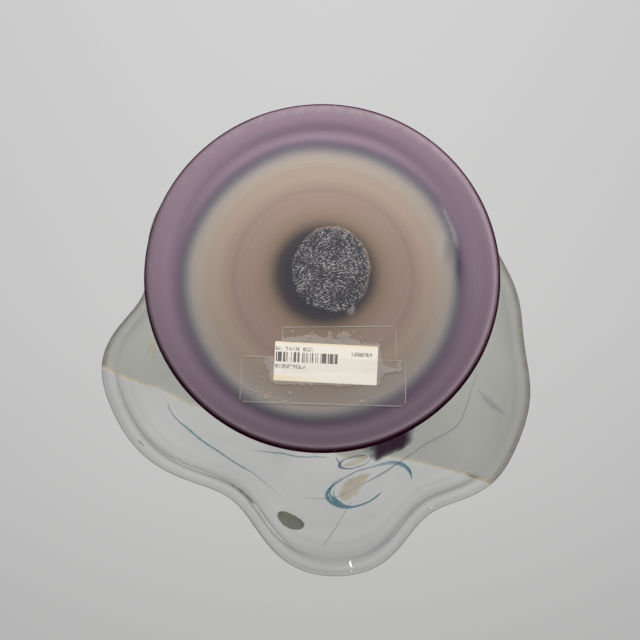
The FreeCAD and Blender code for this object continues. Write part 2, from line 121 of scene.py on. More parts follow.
def NRM(t, v):
    h = 1e-4
    v0 = np.maximum(0.0, v - h)
    return unit(np.cross(S(t + h, v) - S(t - h, v), S(t, v + h) - S(t, v0)))


def wall(v):
    v = np.asarray(v, float)
    return (WALL_WAIST + (WALL_FLARE - WALL_WAIST) * smooth(0.0, 0.5, v)
            + (WALL_LIP - WALL_FLARE) * smooth(0.9, 1.0, v))


sr, sl = monotone(SEAM_R), monotone(SEAM_L)


def half_w(v):
    b, c, e = 3 * (1 - v) ** 2 * v, 3 * (1 - v) * v * v, v ** 3
    return np.degrees(1.0 / (WAIST_R + 89.0 * (c * 0.30 + e)))


# ------------------------------------------------------------------ mesh helpers
def mesh_piece(name, verts, faces, mats, fmat=None, attrs=None, smooth_on=True, stands_for=(), sharp=None):
    me = bpy.data.meshes.new(name)
    me.from_pydata([tuple(map(float, p)) for p in np.asarray(verts) * MM], [], [tuple(map(int, f)) for f in faces])
    for m in mats:
        me.materials.append(m)
    if fmat is not None:
        me.polygons.foreach_set("material_index", np.asarray(fmat, np.int32))
    me.polygons.foreach_set("use_smooth", np.full(len(me.polygons), smooth_on))
    for k, a in (attrs or {}).items():
        at = me.attributes.new(k, "FLOAT", "POINT")
        at.data.foreach_set("value", np.asarray(a, np.float32))
    me.validate()
    bm = bmesh.new()
    bm.from_mesh(me)
    bmesh.ops.recalc_face_normals(bm, faces=bm.faces)
    bm.to_mesh(me)
    bm.free()
    me.update()
    ob = bpy.data.objects.new(name, me)
    bpy.context.scene.collection.objects.link(ob)
    if sharp is not None:
        me.set_sharp_from_angle(angle=math.radians(sharp))
    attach(ob, "root")
    if stands_for:
        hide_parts(*stands_for)
    return ob


class Quilt:
    """Vertices and quads gathered from grids, with welded seams."""
    def __init__(self):
        self.v, self.f, self.m, self.a = [], [], [], {}

    def add(self, pts, **att):
        base = len(self.v)
        pts = np.asarray(pts, float).reshape(-1, 3)
        self.v.extend(pts)
        for k, val in att.items():
            arr = np.broadcast_to(np.asarray(val, float).reshape(-1) if np.ndim(val) else np.full(len(pts), float(val)), (len(pts),))
            self.a.setdefault(k, []).extend(arr)
        return base

    def quads(self, I, mat=0, flip=False, wrap=False):
        """I is a 2-D array of vertex numbers."""
        I = np.asarray(I)
        J = np.vstack([I, I[:1]]) if wrap else I
        for i in range(J.shape[0] - 1):
            for j in range(J.shape[1] - 1):
                q = [J[i, j], J[i + 1, j], J[i + 1, j + 1], J[i, j + 1]]
                q = [k for n, k in enumerate(q) if k != q[n - 1]]
                if len(set(q)) < 3:
                    continue
                self.f.append(q[::-1] if flip else q)
                self.m.append(mat)


# ------------------------------------------------------------------ node helpers
class Nt:
    def __init__(self, name):
        self.mat = bpy.data.materials.new(name)
        self.mat.use_nodes = True
        self.t = self.mat.node_tree
        self.bsdf = self.t.nodes["Principled BSDF"]
        self.out = self.t.nodes["Material Output"]
        self._o = None

    def n(self, kind, **kw):
        x = self.t.nodes.new(kind)
        for k, v in kw.items():
            setattr(x, k, v)
        return x

    def put(self, sock, val):
        if isinstance(val, bpy.types.NodeSocket):
            self.t.links.new(val, sock)
        elif isinstance(val, (tuple, list)):
            sock.default_value = tuple(val) if len(val) != 3 or sock.type != "RGBA" else tuple(val) + (1.0,)
        else:
            sock.default_value = val

    def set(self, **kw):
        for k, v in kw.items():
            self.put(self.bsdf.inputs[k.replace("_", " ")], v)

    def obj(self):
        if self._o is None:
            self._o = self.n("ShaderNodeTexCoord").outputs["Object"]
        return self._o

    def attr(self, name):
        return self.n("ShaderNodeAttribute", attribute_name=name).outputs["Fac"]

    def m(self, op, a, b=0.0, c=0.0, clamp=False):
        x = self.n("ShaderNodeMath", operation=op, use_clamp=clamp)
        self.put(x.inputs[0], a)
        self.put(x.inputs[1], b)
        if len(x.inputs) > 2:
            self.put(x.inputs[2], c)
        return x.outputs[0]

    def step(self, a, b, x):
        q = self.n("ShaderNodeMapRange", interpolation_type="SMOOTHSTEP")
        self.put(q.inputs["Value"], x)
        self.put(q.inputs["From Min"], a)
        self.put(q.inputs["From Max"], b)
        return q.outputs["Result"]

    def rng(self, x, a, b, c, d):
        q = self.n("ShaderNodeMapRange")
        self.put(q.inputs["Value"], x)
        self.put(q.inputs["From Min"], a)
        self.put(q.inputs["From Max"], b)
        self.put(q.inputs["To Min"], c)
        self.put(q.inputs["To Max"], d)
        return q.outputs["Result"]

    def noise(self, vec, scale, detail=2.0, rough=0.5, distort=0.0):
        x = self.n("ShaderNodeTexNoise")
        self.put(x.inputs["Vector"], vec)
        self.put(x.inputs["Scale"], scale)
        self.put(x.inputs["Detail"], detail)
        self.put(x.inputs["Roughness"], rough)
        self.put(x.inputs["Distortion"], distort)
        return x.outputs["Fac"]

    def voronoi(self, vec, scale, feature="F1", rand=1.0):
        x = self.n("ShaderNodeTexVoronoi", feature=feature)
        self.put(x.inputs["Vector"], vec)
        self.put(x.inputs["Scale"], scale)
        self.put(x.inputs["Randomness"], rand)
        return x.outputs["Distance"]

    def map(self, vec, scale=(1, 1, 1), rot=(0, 0, 0), loc=(0, 0, 0)):
        x = self.n("ShaderNodeMapping")
        self.put(x.inputs["Vector"], vec)
        x.inputs["Scale"].default_value = scale
        x.inputs["Rotation"].default_value = rot
        x.inputs["Location"].default_value = loc
        return x.outputs["Vector"]

    def xyz(self, x, y, z):
        q = self.n("ShaderNodeCombineXYZ")
        self.put(q.inputs[0], x)
        self.put(q.inputs[1], y)
        self.put(q.inputs[2], z)
        return q.outputs[0]

    def sep(self, vec):
        q = self.n("ShaderNodeSeparateXYZ")
        self.put(q.inputs[0], vec)
        return q.outputs

    def ramp(self, fac, stops, interp="LINEAR"):
        x = self.n("ShaderNodeValToRGB")
        x.color_ramp.interpolation = interp
        el = x.color_ramp.elements
        while len(el) > 1:
            el.remove(el[-1])
        el[0].position, el[0].color = stops[0][0], tuple(stops[0][1]) + (1.0,)
        for p, c in stops[1:]:
            e = el.new(p)
            e.color = tuple(c) + (1.0,)
        self.put(x.inputs["Fac"], fac)
        return x.outputs["Color"]

    def mix(self, fac, a, b, blend="MIX"):
        x = self.n("ShaderNodeMix", data_type="RGBA", blend_type=blend)
        self.put(x.inputs[0], fac)
        self.put(x.inputs[6], a if isinstance(a, bpy.types.NodeSocket) else tuple(a) + (1.0,))
        self.put(x.inputs[7], b if isinstance(b, bpy.types.NodeSocket) else tuple(b) + (1.0,))
        return x.outputs[2]

    def bump(self, height, strength, dist):
        x = self.n("ShaderNodeBump")
        self.put(x.inputs["Height"], height)
        x.inputs["Strength"].default_value = strength
        x.inputs["Distance"].default_value = dist
        self.t.links.new(x.outputs["Normal"], self.bsdf.inputs["Normal"])
        return x


def lin(r, g, b, k=1.0):
    def f(c):
        c = c / 255.0
        return (c / 12.92 if c <= 0.04045 else ((c + 0.055) / 1.055) ** 2.4) * k
    return (f(r), f(g), f(b))


# ------------------------------------------------------------------ materials
# satin casing: colours of the foot by distance from the centre, in mm, and of the body by height
FOOT_STOPS = [
    (0.0, (66, 65, 72)), (15.8, (67, 66, 73)), (19.2, (76, 71, 74)), (21.6, (112, 99, 90)), (24.3, (139, 120, 107)),
    (27.6, (147, 128, 116)), (31.5, (152, 132, 123)), (35.2, (153, 134, 125)), (37.4, (149, 129, 121)),
    (40.0, (157, 139, 128)), (43.4, (164, 147, 134)), (47.3, (166, 151, 139)), (50.3, (167, 155, 144)),
    (52.3, (165, 155, 146)), (54.2, (157, 148, 143)), (55.7, (137, 134, 134)), (57.2, (115, 112, 118)),
    (58.7, (109, 99, 112)), (60.3, (117, 102, 116)), (62.3, (129, 111, 125)), (65.0, (133, 115, 129)),
    # from 73.6 mm outwards the stops are painted shade: a dark line along the foot's rounded edge
    (68.5, (132, 113, 126)), (70.5, (134, 115, 128)), (72.8, (134, 117, 128)), (73.6, (118, 98, 112)), (74.1, (80, 34, 56)),
    (74.5, (58, 6, 32)), (78.0, (48, 4, 26)),
]
ALB = 0.92


def casing_material(name="satin_purple_casing", gloss=0.36):
    k = Nt(name)
    o = k.obj()
    rad = k.attr("rad")
    warp = k.noise(k.map(o, (18, 18, 18)), 1.0, 3.0, 0.55)
    r2 = k.m("ADD", rad, k.m("MULTIPLY", k.m("SUBTRACT", warp, 0.5), 1.6))
    foot = k.ramp(k.m("DIVIDE", r2, 80.0), [(p / 80.0, lin(*c, k=ALB)) for p, c in FOOT_STOPS])
    # body sides: purple that runs in soft upright streaks
    hgt = k.attr("hgt")
    streak = k.noise(k.map(o, (46, 46, 13)), 1.0, 4.0, 0.6, 0.6)
    side = k.ramp(streak, [(0.30, lin(78, 50, 72)), (0.5, lin(102, 74, 96)), (0.62, lin(118, 93, 112)), (0.75, lin(132, 112, 126))])
    upper = k.mix(k.step(0.3, 0.7, k.noise(k.map(o, (30, 30, 8)), 1.0, 4.0, 0.6)), lin(84, 52, 76), lin(116, 88, 110))
    side = k.mix(k.step(40.0, 97.0, hgt), side, upper)
    # painted shade: the body turns dark maroon towards its bottom, where it meets the foot's edge
    low = k.step(0.0, 16.0, hgt)
    side = k.mix(low, lin(60, 26, 48), side)
    col = k.mix(k.step(2.9, 4.3, hgt), foot, side)
    # one-off marks: dark smudge, light arc and spots, and a cloud of fine mottling; the same light grey also lays a
    # painted sheen on the foot's rounded edge on two sides
    sm = k.attr("smudge")
    col = k.mix(k.m("MULTIPLY", sm, 0.75, clamp=True), col, lin(76, 68, 92, 0.74))
    ar = k.m("MULTIPLY", k.attr("rub"), k.rng(k.noise(k.map(o, (260, 260, 260)), 1.0, 3.0, 0.6), 0.35, 0.65, 0.3, 1.0))
    col = k.mix(k.m("MULTIPLY", ar, 0.5, clamp=True), col, lin(192, 188, 188, 0.78))
    fine = k.noise(k.map(o, (900, 900, 900)), 1.0, 4.0, 0.65)
    col = k.mix(k.rng(fine, 0.3, 0.7, 0.0, 0.10), col, k.mix(1.0, col, (0.62, 0.60, 0.62), "MULTIPLY"))
    rings = k.noise(k.xyz(k.m("MULTIPLY", rad, 0.55), 0.0, 0.0), 1.0, 3.0, 0.7)
    col = k.mix(k.rng(rings, 0.35, 0.65, 0.0, 0.26), col, k.mix(1.0, col, (0.80, 0.76, 0.80), "MULTIPLY"))
    # painted light and shade: the foot's colour is scaled, brighter on some sides and darker on others, by direction
    # round the axis
    col = k.mix(k.step(12.0, 7.0, hgt), col, k.mix(1.0, col, k.xyz(k.attr("gain"), k.attr("gain"), k.attr("gain")), "MULTIPLY"))
    # tiny light specks near the edge, where the satin is chipped
    sp = k.voronoi(k.map(o, (420, 420, 420)), 1.0)
    speck = k.m("MULTIPLY", k.m("LESS_THAN", sp, 0.075), k.m("MULTIPLY", k.step(68.0, 72.0, rad), k.m("LESS_THAN", hgt, 12.0)))
    col = k.mix(k.m("MULTIPLY", speck, 0.75), col, lin(210, 202, 206, 0.8))
    k.set(Base_Color=col)
    k.set(Roughness=k.rng(fine, 0.3, 0.7, 0.36, 0.48))
    k.bsdf.inputs["Specular IOR Level"].default_value = gloss
    k.bsdf.inputs["IOR"].default_value = 1.5
    h = k.m("ADD", k.m("MULTIPLY", fine, 0.5), k.m("MULTIPLY", rings, 0.8))
    k.bump(h, 0.12, 0.0002)
    return k.mat


def flare_material(name, base, dark, transm, rough, grain, tint2):
    """Glass of the flare. v runs from the waist, 0, to the rim, 1; side is 0 outside and 1 inside."""
    k = Nt(name)
    o = k.obj()
    v, side = k.attr("v"), k.attr("side")
    cloud = k.noise(k.map(o, (15, 15, 10)), 1.0, 2.0, 0.5, 0.0)
    drawn = k.noise(k.xyz(k.m("MULTIPLY", k.attr("az"), 2.3), k.m("MULTIPLY", v, 7.0), 0.0), 1.1, 1.0, 0.5, 0.0)
    col = k.mix(k.rng(cloud, 0.32, 0.68, 0.0, 1.0), base, dark)
    col = k.mix(k.rng(drawn, 0.35, 0.8, 0.0, grain), col, tint2)
    # the purple gather and the cream lining thin out up the neck, with a bluish margin
    edge = k.m("ADD", k.attr("veil"), k.m("MULTIPLY", k.m("SUBTRACT", k.noise(k.map(o, (34, 34, 12)), 1.0, 4.0, 0.6, 0.8), 0.5), 0.75))
    halo = k.step(0.20, 0.46, edge)
    body = k.step(0.42, 0.66, edge)
    wine = k.mix(k.step(0.3, 0.7, k.noise(k.map(o, (30, 30, 8)), 1.0, 4.0, 0.6)), lin(84, 52, 76), lin(116, 88, 110))
    gather = k.mix(side, wine, lin(186, 172, 158))
    col = k.mix(k.m("MULTIPLY", halo, 0.75), col, lin(112, 128, 138))
    col = k.mix(body, col, gather)
    am = k.attr("amber")
    fineline = k.rng(k.noise(k.map(o, (220, 220, 220)), 1.0, 2.0, 0.5), 0.3, 0.7, 0.4, 1.0)
    col = k.mix(k.m("MULTIPLY", am, fineline, clamp=True), col, lin(150, 104, 62))
    col = k.mix(k.m("MULTIPLY", k.attr("glow"), 0.5, clamp=True), col, (0.97, 0.84, 0.58))
    # painted shade: the rounded lip is darkened, standing in for the dark lines that the thick glass edge shows
    lip_shade = k.m("MULTIPLY", k.step(0.987, 1.0, v), k.m("SUBTRACT", 1.0, k.attr("glow")))
    col = k.mix(k.m("MULTIPLY", lip_shade, 0.42), col, k.mix(1.0, col, (0.50, 0.50, 0.505), "MULTIPLY"))
    k.set(Base_Color=col)
    t = k.m("MULTIPLY", transm, k.m("SUBTRACT", 1.0, k.m("MULTIPLY", body, 0.97)))
    t = k.m("MULTIPLY", t, k.m("SUBTRACT", 1.0, k.m("MULTIPLY", halo, 0.35)))
    k.set(Transmission_Weight=t)
    k.set(Roughness=k.m("ADD", k.rng(cloud, 0.3, 0.7, rough * 0.9, rough * 1.1), k.m("MULTIPLY", body, 0.42 - rough)))
    k.bsdf.inputs["IOR"].default_value = 1.45
    k.bump(cloud, 0.06, 0.0006)
    return k.mat


def fused_material():
    """Faces where two sheets are melted together, so nothing shows there."""
    k = Nt("fused_glass_joint")
    nz = k.noise(k.map(k.obj(), (60, 60, 60)), 1.0, 2.0)
    k.set(Base_Color=k.mix(nz, (0.80, 0.81, 0.79), (0.70, 0.71, 0.69)))
    k.bsdf.inputs["Alpha"].default_value = 0.0
    k.bsdf.inputs["Roughness"].default_value = 0.3
    return k.mat


def bit_material(name, c1, c2, soft=(0.10, 0.55), body=0.95, nscale=160.0, rough=0.12, transm=0.85, patch=0.0, halo=None, brush=0.0):
    """Drawn glass: e is 1 on the middle line of the stroke and 0 at its sides, s runs along it."""
    k = Nt(name)
    o = k.obj()
    e, s, d = k.attr("e"), k.attr("s"), k.attr("dens")
    n1 = k.noise(k.map(o, (nscale,) * 3), 1.0, 4.0, 0.62, 0.4)
    n2 = k.noise(k.map(o, (nscale * 3.3,) * 3), 1.0, 2.0, 0.5)
    wob = k.m("ADD", e, k.m("MULTIPLY", k.m("SUBTRACT", n1, 0.5), 0.55))
    a = k.m("MULTIPLY", k.step(soft[0], soft[1], wob), k.m("MULTIPLY", d, body))
    if patch:
        a = k.m("MULTIPLY", a, k.rng(n1, 0.35, 0.65, 1.0 - patch, 1.0))
    mixer = k.rng(n1, 0.32, 0.68, 0.0, 1.0)
    if brush:
        # strands drawn along the stroke
        st = k.noise(k.xyz(k.m("MULTIPLY", k.attr("lat"), 3.4), k.m("MULTIPLY", s, 7.0), 0.0), 1.0, 3.0, 0.6, 0.3)
        a = k.m("MULTIPLY", a, k.rng(st, 0.36, 0.56, 1.0 - brush, 1.0))
        mixer = k.m("MULTIPLY", k.m("ADD", mixer, k.rng(st, 0.40, 0.62, 1.0, 0.0)), 0.5)
    col = k.mix(mixer, c1, c2)
    if halo:
        rim = k.mix(k.step(0.5, 0.8, s), lin(92, 62, 84), halo[2])
        col = k.mix(k.step(halo[0], halo[1], wob), rim, col)
    k.set(Base_Color=col)
    k.set(Alpha=k.m("MINIMUM", a, 1.0, clamp=True))
    k.set(Roughness=k.rng(n2, 0.3, 0.7, rough * 0.8, rough * 1.4))
    k.bsdf.inputs["Transmission Weight"].default_value = transm
    k.bsdf.inputs["IOR"].default_value = 1.08
    return k.mat


def seam_material():
    k = Nt("amber_seam_glass")
    o = k.obj()
    n1 = k.noise(k.map(o, (140, 140, 140)), 1.0, 3.0, 0.6)
    n2 = k.noise(k.map(o, (38, 38, 38)), 1.0, 2.0, 0.5)
    col = k.mix(k.rng(n1, 0.3, 0.7, 0.0, 1.0), (0.97, 0.82, 0.60), (0.99, 0.90, 0.74))
    col = k.mix(k.rng(n2, 0.5, 0.7, 0.0, 0.4), col, (0.88, 0.70, 0.50))
    brown = k.attr("brown")
    col = k.mix(k.m("MULTIPLY", brown, 1.0, clamp=True), col, (0.24, 0.13, 0.06))
    v = k.attr("veil")
    col = k.mix(k.step(0.35, 0.6, v), col, lin(96, 68, 90))
    k.set(Base_Color=col, Roughness=k.rng(n1, 0.3, 0.7, 0.14, 0.22))
    k.bsdf.inputs["Transmission Weight"].default_value = 0.9
    k.bsdf.inputs["IOR"].default_value = 1.45
    k.bump(n2, 0.03, 0.0002)
    return k.mat


def pontil_material():
    k = Nt("ground_pontil_glass")
    o = k.obj()
    mm = k.map(o, (1000, 1000, 1000))
    s = k.sep(k.map(o, (1000, 1000, 1000), loc=(-3.9, 1.6, 0)))

    def scratch(rot, seed):
        p = k.map(k.map(mm, (1.0, 1.0, 1.0), rot=(0, 0, rot)), (0.60, 2.5, 1.0), loc=(seed, seed * 1.7, 0))
        n = k.noise(p, 1.35, 2.5, 0.62, 0.35)
        return n
    a = scratch(math.radians(42), 3.1)
    b = scratch(math.radians(4), 9.7)
    c = scratch(math.radians(-38), 17.3)
    left = k.step(1.0, -7.0, k.m("ADD", s[0], k.m("MULTIPLY", s[1], 0.75)))
    right = k.step(3.0, 9.5, k.m("ADD", s[0], k.m("MULTIPLY", s[1], -0.25)))
    f = k.m("ADD", k.m("MULTIPLY", left, a), k.m("MULTIPLY", k.m("SUBTRACT", 1.0, left), b))
    f = k.m("ADD", k.m("MULTIPLY", right, c), k.m("MULTIPLY", k.m("SUBTRACT", 1.0, right), f))
    dust = k.noise(k.map(mm, (1.6, 1.6, 1.6)), 1.0, 4.0, 0.7)
    big = k.noise(k.map(mm, (0.14, 0.14, 0.14)), 1.0, 3.0, 0.6)
    ed = k.attr("edge")
    line = k.step(0.525, 0.62, k.m("ADD", f, k.m("MULTIPLY", k.m("SUBTRACT", big, 0.5), 0.22)))
    col = k.mix(k.rng(dust, 0.3, 0.72, 0.0, 1.0), lin(56, 55, 60, 0.74), lin(90, 88, 92, 0.74))
    col = k.mix(k.m("MULTIPLY", line, k.rng(dust, 0.35, 0.6, 0.45, 1.0)), col, lin(204, 202, 202, 0.88))
    warm = k.m("MULTIPLY", ed, k.step(-6.0, 14.0, k.m("SUBTRACT", s[0], s[1])))
    col = k.mix(k.m("MULTIPLY", warm, 0.6), col, lin(158, 134, 112, 0.74))
    k.set(Base_Color=col, Roughness=k.rng(line, 0.0, 1.0, 0.55, 0.8))
    k.bump(k.m("ADD", f, k.m("MULTIPLY", dust, 0.35)), 0.5, 0.0005)
    return k.mat


def label_material():
    k = Nt("label_paper")
    o = k.obj()
    u, w = k.attr("lu"), k.attr("lv")       # mm from the label's left and top edges
    fib = k.noise(k.map(o, (1500, 1500, 300)), 1.0, 4.0, 0.65)
    col = k.mix(k.rng(fib, 0.3, 0.7, 0.0, 1.0), (0.99, 0.945, 0.865), (0.95, 0.90, 0.81))
    warm = k.m("ADD", k.step(1.9, 0.3, w), k.m("MULTIPLY", k.step(13.4, 14.6, w), k.step(24.0, 4.0, u)), clamp=True)
    blot = k.noise(k.map(o, (160, 160, 160)), 1.0, 3.0, 0.6)
    col = k.mix(k.m("MULTIPLY", warm, k.rng(blot, 0.35, 0.65, 0.45, 0.85)), col, (0.97, 0.80, 0.52))
    # plain bars of uneven width, no code and no text
    cell = k.m("FLOOR", k.m("DIVIDE", u, 0.27))
    wn = k.n("ShaderNodeTexWhiteNoise", noise_dimensions="1D")
    k.put(wn.inputs["W"], cell)
    bar = k.m("GREATER_THAN", wn.outputs["Value"], 0.46)
    inside = k.m("MULTIPLY", k.m("MULTIPLY", k.m("GREATER_THAN", u, 0.25), k.m("LESS_THAN", u, 26.1)),
                 k.m("MULTIPLY", k.m("GREATER_THAN", w, 4.2), k.m("LESS_THAN", w, 8.3)))
    ink = k.m("MULTIPLY", bar, inside)
    col = k.mix(k.m("MULTIPLY", ink, 0.86), col, lin(58, 52, 54))
    # rows of plain dashes where a label would carry print

    def row(w0, w1, u0, u1, seed):
        q = k.n("ShaderNodeTexWhiteNoise", noise_dimensions="2D")
        k.put(q.inputs["Vector"], k.xyz(k.m("FLOOR", k.m("DIVIDE", u, 0.36)), k.m("ADD", k.m("FLOOR", k.m("DIVIDE", w, 0.52)), seed), 0.0))
        gap = k.n("ShaderNodeTexWhiteNoise", noise_dimensions="1D")
        k.put(gap.inputs["W"], k.m("ADD", k.m("FLOOR", k.m("DIVIDE", u, 1.44)), seed))
        r = k.m("MULTIPLY", k.m("GREATER_THAN", q.outputs["Value"], 0.36), k.m("GREATER_THAN", gap.outputs["Value"], 0.14))
        return k.m("MULTIPLY", r, k.m("MULTIPLY", k.m("MULTIPLY", k.m("GREATER_THAN", u, u0), k.m("LESS_THAN", u, u1)),
                                      k.m("MULTIPLY", k.m("GREATER_THAN", w, w0), k.m("LESS_THAN", w, w1))))
    marks = k.m("ADD", k.m("ADD", row(2.0, 3.6, 0.3, 15.5, 31.0), row(9.4, 11.0, 0.3, 12.8, 77.0)),
                row(3.1, 4.7, 31.6, 40.3, 141.0), clamp=True)
    col = k.mix(k.m("MULTIPLY", marks, 0.62), col, lin(84, 78, 80))
    k.set(Base_Color=col)
    k.bsdf.inputs["Roughness"].default_value = 0.55
    k.bump(fib, 0.06, 0.0001)
    return k.mat


def tape_material(name):
    k = Nt(name)
    o = k.obj()
    cl, ed = k.attr("cloud"), k.attr("edge")
    n1 = k.noise(k.map(o, (420, 420, 420)), 1.0, 4.0, 0.6)
    n2 = k.noise(k.map(o, (90, 90, 90)), 1.0, 3.0, 0.6)
    col = k.mix(k.rng(n1, 0.3, 0.7, 0.0, 1.0), lin(204, 194, 186, 0.86), lin(226, 218, 208, 0.86))
    col = k.mix(k.attr("yel"), col, (0.62, 0.50, 0.06))
    col = k.mix(k.m("MULTIPLY", ed, 0.6), col, lin(240, 236, 232, 0.9))
    a = k.m("ADD", k.m("MULTIPLY", cl, k.rng(n2, 0.3, 0.7, 0.24, 0.36)), 0.03)
    a = k.m("ADD", a, k.m("MULTIPLY", ed, k.rng(n2, 0.35, 0.65, 0.15, 0.75)), clamp=True)
    k.set(Base_Color=col, Alpha=a)
    k.set(Roughness=k.rng(n1, 0.3, 0.7, 0.18, 0.32))
    k.bump(n2, 0.05, 0.0003)
    return k.mat


def inner_material(name, c1, c2, rough, scale, transm=0.0):
    k = Nt(name)
    o = k.obj()
    n1 = k.noise(k.map(o, (scale, scale, scale * 0.3)), 1.0, 4.0, 0.6, 0.8)
    n2 = k.noise(k.map(o, (700, 700, 700)), 1.0, 3.0, 0.6)
    k.set(Base_Color=k.mix(k.rng(n1, 0.3, 0.7, 0.0, 1.0), c1, c2), Roughness=k.rng(n2, 0.3, 0.7, rough * 0.85, rough * 1.2))
    k.bsdf.inputs["Transmission Weight"].default_value = transm
    k.bump(n1, 0.06, 0.0005)
    return k.mat


M_casing = casing_material()
M_edge = casing_material("matt_purple_edge", 0.0)
M_fused = fused_material()
M_grey = flare_material("grey_opal_sheet", (0.745, 0.75, 0.705), (0.665, 0.675, 0.63), 0.80, 0.30, 0.30, (0.80, 0.80, 0.745))
M_clear = flare_material("clear_sheet", (0.87, 0.878, 0.862), (0.755, 0.767, 0.752), 0.97, 0.035, 0.30, (0.90, 0.905, 0.89))
M_seam = seam_material()
M_pontil = pontil_material()
M_label = label_material()
M_swirl = bit_material("brushed_blue_glass", (0.05, 0.20, 0.31), (0.27, 0.50, 0.60), (0.0, 0.46), 1.0, 150.0, brush=0.5)
M_loop = bit_material("brushed_blue_glass_fine", (0.13, 0.20, 0.27), (0.30, 0.40, 0.46), (0.0, 0.6), 0.95, 190.0, brush=0.3)
M_thread = bit_material("blue_thread_glass", (0.28, 0.42, 0.52), (0.48, 0.60, 0.68), (0.0, 0.8), 0.9, 120.0)
M_threadr = bit_material("dark_thread_glass", (0.36, 0.42, 0.45), (0.52, 0.56, 0.58), (0.0, 0.8), 0.8, 120.0)
M_peach = bit_material("peach_glass", (1.0, 0.94, 0.74), (0.98, 0.87, 0.72), (0.0, 0.42), 0.95, 90.0, transm=0.75, patch=0.35)
M_olive = bit_material("olive_glass", (0.66, 0.67, 0.55), (0.50, 0.51, 0.42), (0.0, 0.16), 0.97, 90.0, 0.10, transm=0.25)
M_streak = bit_material("olive_streak_glass", (0.26, 0.26, 0.23), (0.52, 0.52, 0.48), (0.0, 0.8), 0.85, 240.0)
M_fine = bit_material("fine_dark_glass", (0.44, 0.42, 0.37), (0.60, 0.58, 0.52), (0.0, 0.9), 0.7, 120.0)
M_smoke = bit_material("smoky_blue_glass", (0.52, 0.60, 0.63), (0.62, 0.67, 0.70), (0.0, 1.0), 0.8, 60.0)
M_flame = bit_material("purple_flame_glass", lin(96, 68, 88), lin(76, 50, 68), (0.0, 0.46), 1.0, 60.0, transm=0.0,
                       halo=(0.12, 0.50, lin(150, 160, 166)))
M_tape = tape_material("clear_tape")


# ------------------------------------------------------------------ foot and body: the satin casing
BEAD_Z = BEAD_R + 0.5
SLOPE_R = FOOT_R - BEAD_R + BEAD_R * math.sqrt(0.5)
SLOPE_Z = BEAD_Z + BEAD_R * math.sqrt(0.5)
GAIN = SLOPE_R - WAIST_R
POWER = (WAIST_Z - SLOPE_Z) / GAIN


def body_r(z):
    s = (z - SLOPE_Z) / (WAIST_Z - SLOPE_Z)
    return WAIST_R + GAIN * max(0.0, 1 - s) ** POWER


def arc3(a, b, c, n):
    """Points on the circle through three (r, z) pairs."""
    (ax, ay), (bx, by), (cx, cy) = a, b, c
    d = 2 * (ax * (by - cy) + bx * (cy - ay) + cx * (ay - by))
    ux = ((ax * ax + ay * ay) * (by - cy) + (bx * bx + by * by) * (cy - ay) + (cx * cx + cy * cy) * (ay - by)) / d
    uy = ((ax * ax + ay * ay) * (cx - bx) + (bx * bx + by * by) * (ax - cx) + (cx * cx + cy * cy) * (bx - ax)) / d
    R = math.hypot(ax - ux, ay - uy)
    t0, tm, t1 = (math.atan2(p[1] - uy, p[0] - ux) for p in (a, b, c))
    while tm < t0 - math.pi:
        tm += 2 * math.pi
    while t1 < tm:
        t1 += 2 * math.pi
    if t1 - t0 > 2 * math.pi:
        t1 -= 2 * math.pi
    return [(ux + R * math.cos(t0 + (t1 - t0) * i / n), uy + R * math.sin(t0 + (t1 - t0) * i / n)) for i in range(n + 1)]


def under_z(r):
    """Height of the hollow ground into the underside."""
    return 0.8 * (1.0 - smooth(50.0, 68.0, r))


